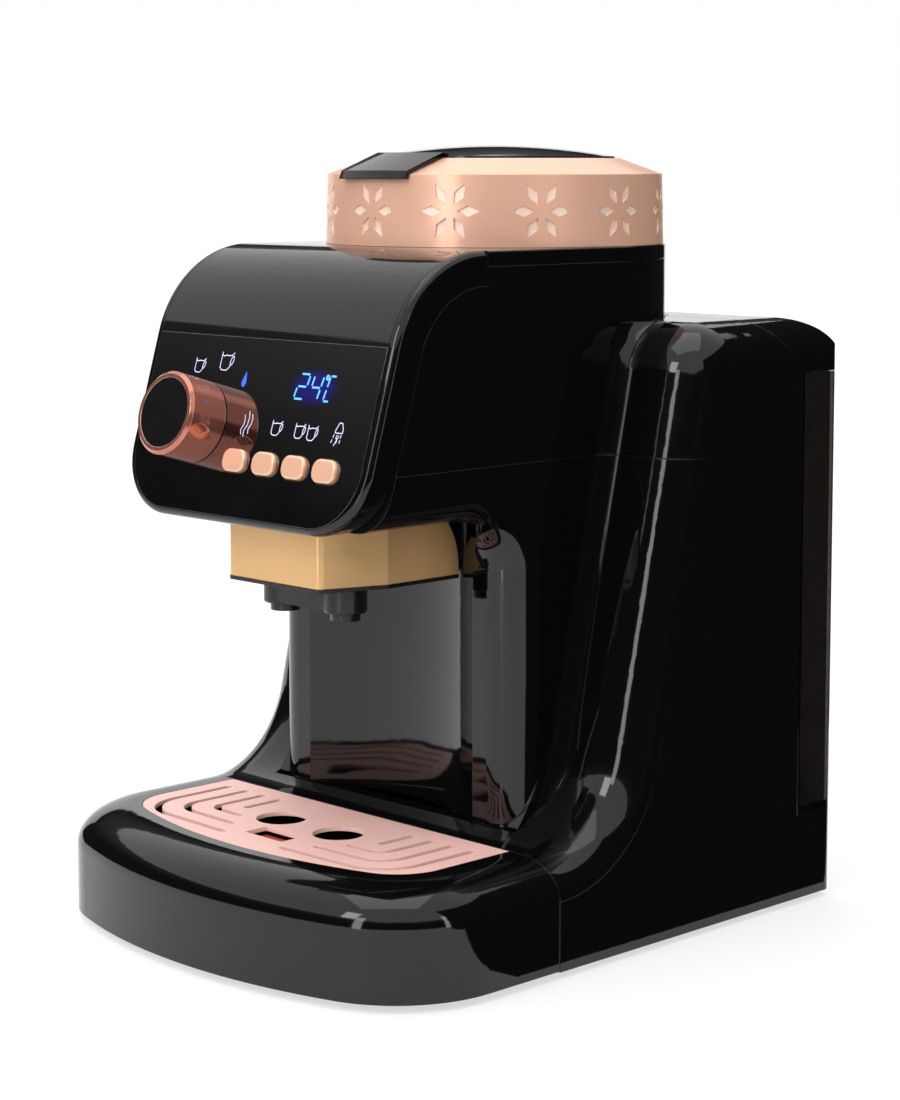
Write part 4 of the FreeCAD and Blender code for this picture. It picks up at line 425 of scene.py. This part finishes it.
# Copper plating, satin: warm pink-gold with fine rings from spinning, pale in the cut stars
copper_satin, tree, shader, where = start_material("copper_plated_satin", "#f3c2a8", 0.27, Metallic=0.4)
rounded, _ = soft_edge(tree, 0.35)
from_axis = add(
    tree, "ShaderNodeVectorMath", {"operation": "SUBTRACT", 1: (0, RING_Y * MM, 0)}, {0: where}
)
spread = add(
    tree, "ShaderNodeVectorMath", {"operation": "MULTIPLY", 1: (1, 1, 0)},
    {0: from_axis.outputs["Vector"]},
)
reach = add(tree, "ShaderNodeVectorMath", {"operation": "LENGTH"}, {0: spread.outputs["Vector"]})
height = add(tree, "ShaderNodeSeparateXYZ", None, {0: where})
draft = add(
    tree, "ShaderNodeMapRange",
    {"From Min": WALL_FOOT * MM, "From Max": WALL_TOP * MM,
     "To Min": (RING_RADIUS - CUT_MARGIN) * MM,
     "To Max": (RING_RADIUS - RING_DRAFT - CUT_MARGIN) * MM},
    {"Value": height.outputs["Z"]},
)
cut_in = add(
    tree, "ShaderNodeMath", {"operation": "LESS_THAN"},
    {0: reach.outputs["Value"], 1: draft.outputs["Result"]},
)
on_wall = add(
    tree, "ShaderNodeMath", {"operation": "LESS_THAN", 1: STAR_LIMIT * MM}, {0: height.outputs["Z"]}
)
in_star = add(
    tree, "ShaderNodeMath", {"operation": "MULTIPLY"},
    {0: cut_in.outputs["Value"], 1: on_wall.outputs["Value"]},
)
tone = add(
    tree, "ShaderNodeMix", {"data_type": "RGBA", 6: linear("#f4bfa4"), 7: linear("#fbe0d0")},
    {0: in_star.outputs["Value"]},
)
tree.links.new(tone.outputs[2], shader.inputs["Base Color"])
dull = add(
    tree, "ShaderNodeMath", {"operation": "MULTIPLY_ADD", 1: 0.22},
    {0: in_star.outputs["Value"], 2: vary(tree, where, 25.0, 0.27, 0.34)},
)
tree.links.new(dull.outputs["Value"], shader.inputs["Roughness"])
turning = stretched(tree, where, (0.02, 0.02, 1.0))
relief(tree, shader, vary(tree, turning, 0.35, 0.0, 1.0), 0.002, rounded)
coat(copper_satin, "hopper_ring")

# Bean hopper and water tank
# Both are moulded from clear smoked SAN: the funnel that feeds the burrs, and the tank that
# lifts out of the back and is shut by the rear of the roof.

# SAN, clear smoked: dark with bright rims, faint flow lines from the mould
san_smoked, tree, shader, where = start_material(
    "san_smoked_clear", "#443f3c", 0.04, IOR=1.57, Transmission_Weight=1.0
)
flow = stretched(tree, where, (1.0, 1.0, 0.12))
relief(tree, shader, vary(tree, flow, 6.0, 0.0, 1.0), 0.01)
tree.links.new(vary(tree, where, 18.0, 0.03, 0.08), shader.inputs["Roughness"])
coat(san_smoked, "bean_hopper", "water_tank")

# Drip tray's grille and float
# The grille is an aluminium plate with stamped slots, anodised pink-gold, laid into the tray.
# The red float rises through its window when the tray is full.

# Anodised aluminium, brushed before anodising: pink-gold, soft and even, hair-fine lines along X
rose_anodised, tree, shader, where = start_material(
    "aluminium_rose_anodised", "#f2c3b9", 0.42, Metallic=0.12
)
rounded, _ = soft_edge(tree, 0.25)
brushed = stretched(tree, where, (0.03, 1.0, 1.0))
relief(tree, shader, vary(tree, brushed, 0.3, 0.0, 1.0), 0.003, rounded)
tree.links.new(vary(tree, where, 20.0, 0.36, 0.48), shader.inputs["Roughness"])
coat(rose_anodised, "drip_grille")

# Polypropylene, moulded: waxy red
pp_red, tree, shader, where = start_material("polypropylene_red", "#b3261c", 0.35, Subsurface_Weight=0.1)
relief(tree, shader, vary(tree, where, 1.2, 0.0, 1.0), 0.01)
tree.links.new(vary(tree, where, 5.0, 0.3, 0.42), shader.inputs["Roughness"])
coat(pp_red, "drip_float")

# Brew holder, gold band and spouts
# A black ABS carrier in a bent band of gold-anodised aluminium holds the pressed filter basket;
# a moulded block with two stepped nozzles is glued under it.

# Anodised aluminium, polished: pale gold that turns tan where it faces away from the light
gold_anodised, tree, shader, where = start_material(
    "aluminium_gold_anodised", "#dcb079", 0.24, Metallic=0.4
)
rounded, _ = soft_edge(tree, 0.6)
rolled = stretched(tree, where, (0.04, 0.04, 1.0))
relief(tree, shader, vary(tree, rolled, 0.5, 0.0, 1.0), 0.003, rounded)
tree.links.new(vary(tree, where, 16.0, 0.16, 0.26), shader.inputs["Roughness"])
coat(gold_anodised, "gold_band")

# ABS, satin mould: black that shows soft highlights only
abs_satin, tree, shader, where = start_material("abs_satin_mould", "#131314", 0.3)
rounded, _ = soft_edge(tree, 0.4)
relief(tree, shader, vary(tree, where, 0.8, 0.0, 1.0), 0.01, rounded)
tree.links.new(vary(tree, where, 9.0, 0.24, 0.36), shader.inputs["Roughness"])
coat(abs_satin, "brew_holder", "spouts", "grinder_housing", "grounds_chute", "encoder")

# Stainless steel, deep-drawn: bright with faint upright drawing lines
stainless, tree, shader, where = start_material("stainless_deep_drawn", "#c6c6c4", 0.25, Metallic=1.0)
drawn = stretched(tree, where, (1.0, 1.0, 0.05))
relief(tree, shader, vary(tree, drawn, 0.5, 0.0, 1.0), 0.004)
tree.links.new(vary(tree, where, 8.0, 0.2, 0.32), shader.inputs["Roughness"])
coat(stainless, "filter_basket")

# Grinder and motor
# Hardened burrs, a nylon gear on the burr's carrier, a steel pinion and a motor in a drawn can.

# Hardened steel, ground: grey with short crossing grinding lines
steel_ground, tree, shader, where = start_material("steel_hardened_ground", "#9d9c99", 0.3, Metallic=1.0)
ground = stretched(tree, where, (1.0, 0.1, 1.0), (0, 0, 0.6))
relief(tree, shader, vary(tree, ground, 0.3, 0.0, 1.0), 0.005)
tree.links.new(vary(tree, where, 5.0, 0.24, 0.4), shader.inputs["Roughness"])
coat(steel_ground, "upper_burr", "lower_burr", "motor_pinion")

# Nylon, moulded: milky white with a little depth
nylon, tree, shader, where = start_material("nylon_moulded", "#e4dfd0", 0.42, Subsurface_Weight=0.2)
relief(tree, shader, vary(tree, where, 0.7, 0.0, 1.0), 0.01)
tree.links.new(vary(tree, where, 6.0, 0.36, 0.5), shader.inputs["Roughness"])
coat(nylon, "burr_gear")

# Steel can, drawn and nickel-flashed: satin grey with rings round it
steel_can, tree, shader, where = start_material("steel_drawn_can", "#a3a19c", 0.32, Metallic=1.0)
rings = stretched(tree, where, (0.1, 0.1, 1.0))
relief(tree, shader, vary(tree, rings, 0.8, 0.0, 1.0), 0.006)
tree.links.new(vary(tree, where, 12.0, 0.26, 0.4), shader.inputs["Roughness"])
coat(steel_can, "grinder_motor", "water_pump")

# Heater, brew head and water circuit
# Die-cast heater and brew head, grey POM valve and flow meter, silicone hoses and seals.

# Aluminium, die-cast: pale grey with a slightly frosted skin
die_cast, tree, shader, where = start_material("aluminium_die_cast", "#b9bab8", 0.45, Metallic=1.0)
relief(tree, shader, vary(tree, where, 1.0, 0.0, 1.0, detail=6.0), 0.03)
tree.links.new(vary(tree, where, 10.0, 0.38, 0.55), shader.inputs["Roughness"])
coat(die_cast, "thermoblock", "brew_head")

# POM, moulded: even grey with a dull wax-like shine
pom_grey, tree, shader, where = start_material("pom_moulded", "#7d7e80", 0.4)
relief(tree, shader, vary(tree, where, 0.8, 0.0, 1.0), 0.01)
tree.links.new(vary(tree, where, 7.0, 0.34, 0.48), shader.inputs["Roughness"])
coat(pom_grey, "tank_valve", "solenoid_valve", "flow_meter")

# Silicone, moulded black: soft shine, picks up dust
silicone_black, tree, shader, where = start_material("silicone_black", "#2a2a2b", 0.5)
relief(tree, shader, vary(tree, where, 0.9, 0.0, 1.0), 0.01)
tree.links.new(vary(tree, where, 3.0, 0.42, 0.6), shader.inputs["Roughness"])
coat(silicone_black, "brew_gasket", "tank_seat")

# Silicone, extruded: milky white, see-through at the edges, lines along the tube
silicone_milky, tree, shader, where = start_material(
    "silicone_extruded", "#dedfd8", 0.4, Subsurface_Weight=0.3, Transmission_Weight=0.2
)
relief(tree, shader, vary(tree, where, 1.5, 0.0, 1.0), 0.01)
tree.links.new(vary(tree, where, 8.0, 0.34, 0.5), shader.inputs["Roughness"])
coat(silicone_milky, "hose_tank", "hose_pump", "hose_heater", "hose_brew")

# Boards
# Glass-fibre boards with a green lacquer over their copper tracks.

# Lacquered glass fibre: green, with tracks 1.2 mm apart that stand a hair proud
lacquer, tree, shader, where = start_material("glass_fibre_lacquered", "#16512c", 0.3)
tracks = add(
    tree, "ShaderNodeTexBrick",
    {"Scale": cycles_per_metre(8.0), "Mortar Size": 0.03, "Color1": linear("#14502a"),
     "Color2": linear("#1a5c33"), "Mortar": linear("#2c7a48")},
    {"Vector": where},
)
tree.links.new(tracks.outputs["Color"], shader.inputs["Base Color"])
relief(tree, shader, tracks.outputs["Fac"], 0.03)
tree.links.new(vary(tree, where, 10.0, 0.24, 0.38), shader.inputs["Roughness"])
coat(lacquer, "control_board", "main_board")

# Floor
# A plain white table top that keeps the machine's soft shadow.
floor_mesh = bpy.data.meshes.new("floor")
REACH = 12.0
floor_mesh.from_pydata(
    [(-REACH, -REACH, 0), (REACH, -REACH, 0), (REACH, REACH, 0), (-REACH, REACH, 0)], [], [(0, 1, 2, 3)]
)
floor = bpy.data.objects.new("floor", floor_mesh)
scene.collection.objects.link(floor)


def looking(tree):
    """1 for rays from the camera and rays that metal and glass send on, 0 for the light's own."""
    rays = add(tree, "ShaderNodeLightPath")
    seen = add(
        tree, "ShaderNodeMath", {"operation": "MAXIMUM"},
        {0: rays.outputs["Is Camera Ray"], 1: rays.outputs["Is Transmission Ray"]},
    )
    shown = add(
        tree, "ShaderNodeMath", {"operation": "MAXIMUM"},
        {0: seen.outputs["Value"], 1: rays.outputs["Is Glossy Ray"]},
    )
    return shown.outputs["Value"]


# Painted board, matt white: lit to white, darker only in the shadow
painted, tree, shader, where = start_material(
    "board_painted_white", "#9c9c9b", 0.6, Specular_IOR_Level=0.2
)
tree.links.new(vary(tree, where, 4.0, 0.55, 0.65), shader.inputs["Roughness"])
shader.inputs["Emission Color"].default_value = (1, 1, 1, 1)
lift = add(tree, "ShaderNodeMath", {"operation": "MULTIPLY", 1: 0.62}, {0: looking(tree)})
tree.links.new(lift.outputs["Value"], shader.inputs["Emission Strength"])
floor_mesh.materials.append(painted)

# Surroundings
# A white room. Black cloth hangs round the table, and black cards stand and lie at its right side,
# as in a studio; they show only in shiny surfaces, which stay black between the soft boxes.
world = bpy.data.worlds.new("studio")
scene.world = world
world.use_nodes = True
tree = world.node_tree
tree.nodes.clear()
around = add(tree, "ShaderNodeTexCoord")
brightest = Vector((-0.5, -0.62, 0.6)).normalized()
toward_light = add(
    tree, "ShaderNodeVectorMath", {"operation": "DOT_PRODUCT", 1: brightest},
    {0: around.outputs["Generated"]},
)
level = add(
    tree, "ShaderNodeMapRange",
    {"interpolation_type": "SMOOTHSTEP", "From Min": -0.75, "From Max": 0.9,
     "To Min": 0.75, "To Max": 1.7},
    {"Value": toward_light.outputs["Value"]},
)
room = add(tree, "ShaderNodeBackground", {"Color": (1, 1, 1, 1)}, {"Strength": level.outputs["Result"]})
backdrop = add(tree, "ShaderNodeBackground", {"Color": (1, 1, 1, 1), "Strength": 1.0})
mixed = add(
    tree, "ShaderNodeMixShader", None,
    {0: looking(tree), 1: room.outputs["Background"], 2: backdrop.outputs["Background"]},
)
add(tree, "ShaderNodeOutputWorld", None, {"Surface": mixed.outputs["Shader"]})


def only_in_reflections(made):
    """Keeps a cloth out of sight, out of the light and out of the shadows."""
    made.visible_camera = False
    made.visible_diffuse = False
    made.visible_shadow = False
    made.visible_transmission = False


def cloth(name, radius, low, high, start, end, material):
    """An upright curved cloth about the table, seen only in reflections; angles in degrees."""
    steps = 48
    corners = []
    for index in range(steps + 1):
        angle = math.radians(start + (end - start) * index / steps)
        x, y = radius * math.cos(angle), radius * math.sin(angle)
        corners += [(x, y, low), (x, y, high)]
    faces = [(2 * i, 2 * i + 2, 2 * i + 3, 2 * i + 1) for i in range(steps)]
    mesh = bpy.data.meshes.new(name)
    mesh.from_pydata(corners, [], faces)
    mesh.materials.append(material)
    made = bpy.data.objects.new(name, mesh)
    scene.collection.objects.link(made)
    only_in_reflections(made)


# Black molton: napped cotton that swallows light, with painted light: an emission that grows towards its
# top stands in for the lamps reaching it
molton, tree, shader, where = start_material(
    "cotton_black_molton", "#050505", 0.95, Specular_IOR_Level=0.05
)
relief(tree, shader, vary(tree, where, 1.5, 0.0, 1.0), 0.3)
hung = add(tree, "ShaderNodeSeparateXYZ", None, {0: where})
# painted light: the cloth glows faintly, more towards its top, as if lit by the lamps above
painted_light_top = add(
    tree, "ShaderNodeMapRange", {"From Min": 0.66, "From Max": 1.0, "To Min": 0.015, "To Max": 0.13},
    {"Value": hung.outputs["Z"]},
)
shader.inputs["Emission Color"].default_value = (1, 1, 1, 1)
tree.links.new(painted_light_top.outputs["Result"], shader.inputs["Emission Strength"])
cloth("cloth_round", 1.9, 0.03, 1.0, -190, 100, molton)
cloth("cloth_rear", 1.9, 0.6, 1.0, 100, 170, molton)
cloth("card_right", 0.5, 0.0, 0.6, -8, 105, molton)

# a second black card lies on the table beside the machine's right wall
lying_mesh = bpy.data.meshes.new("card_lying")
lying_corners = [(0.13, -0.05, 0.001), (0.6, -0.1, 0.001), (0.6, 0.6, 0.001), (0.13, 0.6, 0.001)]
lying_mesh.from_pydata(lying_corners, [], [(0, 1, 2, 3)])
lying_mesh.materials.append(molton)
lying = bpy.data.objects.new("card_lying", lying_mesh)
scene.collection.objects.link(lying)
only_in_reflections(lying)

# Lamps
# Soft boxes: a large one overhead, one high in front of the panel, and two tall strips, one in
# front and one to the right.
def soft_box(name, place, target, wide, tall, brightness):
    """A rectangular lamp aimed at a point; brightness 1 looks white in a mirror."""
    lamp = bpy.data.lights.new(name, "AREA")
    lamp.shape = "RECTANGLE"
    lamp.size, lamp.size_y = wide, tall
    lamp.energy = brightness * math.pi * wide * tall
    made = bpy.data.objects.new(name, lamp)
    aim = Vector(target) - Vector(place)
    made.matrix_world = Matrix.Translation(place) @ aim.to_track_quat("-Z", "Y").to_matrix().to_4x4()
    made.visible_camera = False
    scene.collection.objects.link(made)


soft_box("overhead", (-0.1, -0.1, 1.5), (0, 0, 0.1), 1.2, 1.0, 1.2)
soft_box("box_front", (0.02, -1.15, 0.92), (0, 0, 0.25), 0.3, 0.42, 6.0)
soft_box("strip_front", (0.23, -0.95, 0.33), (0, 0, 0.2), 0.13, 0.66, 4.5)
soft_box("strip_right", (0.98, -0.08, 0.33), (0, 0, 0.2), 0.06, 0.66, 4.5)

# Camera
# Where the photograph was taken from: a little above the panel, in front and to the right.
camera_data = bpy.data.cameras.new("camera")
camera_data.lens = 85.35
camera_data.sensor_width = 36.0
camera_data.shift_y = -0.10
camera = bpy.data.objects.new("camera", camera_data)
camera.location = (0.8212, -0.7890, 0.3289)
camera.rotation_euler = (math.radians(90 - 6.04), 0, math.radians(45.64))
scene.collection.objects.link(camera)
scene.camera = camera
scene.view_settings.view_transform = "Standard"
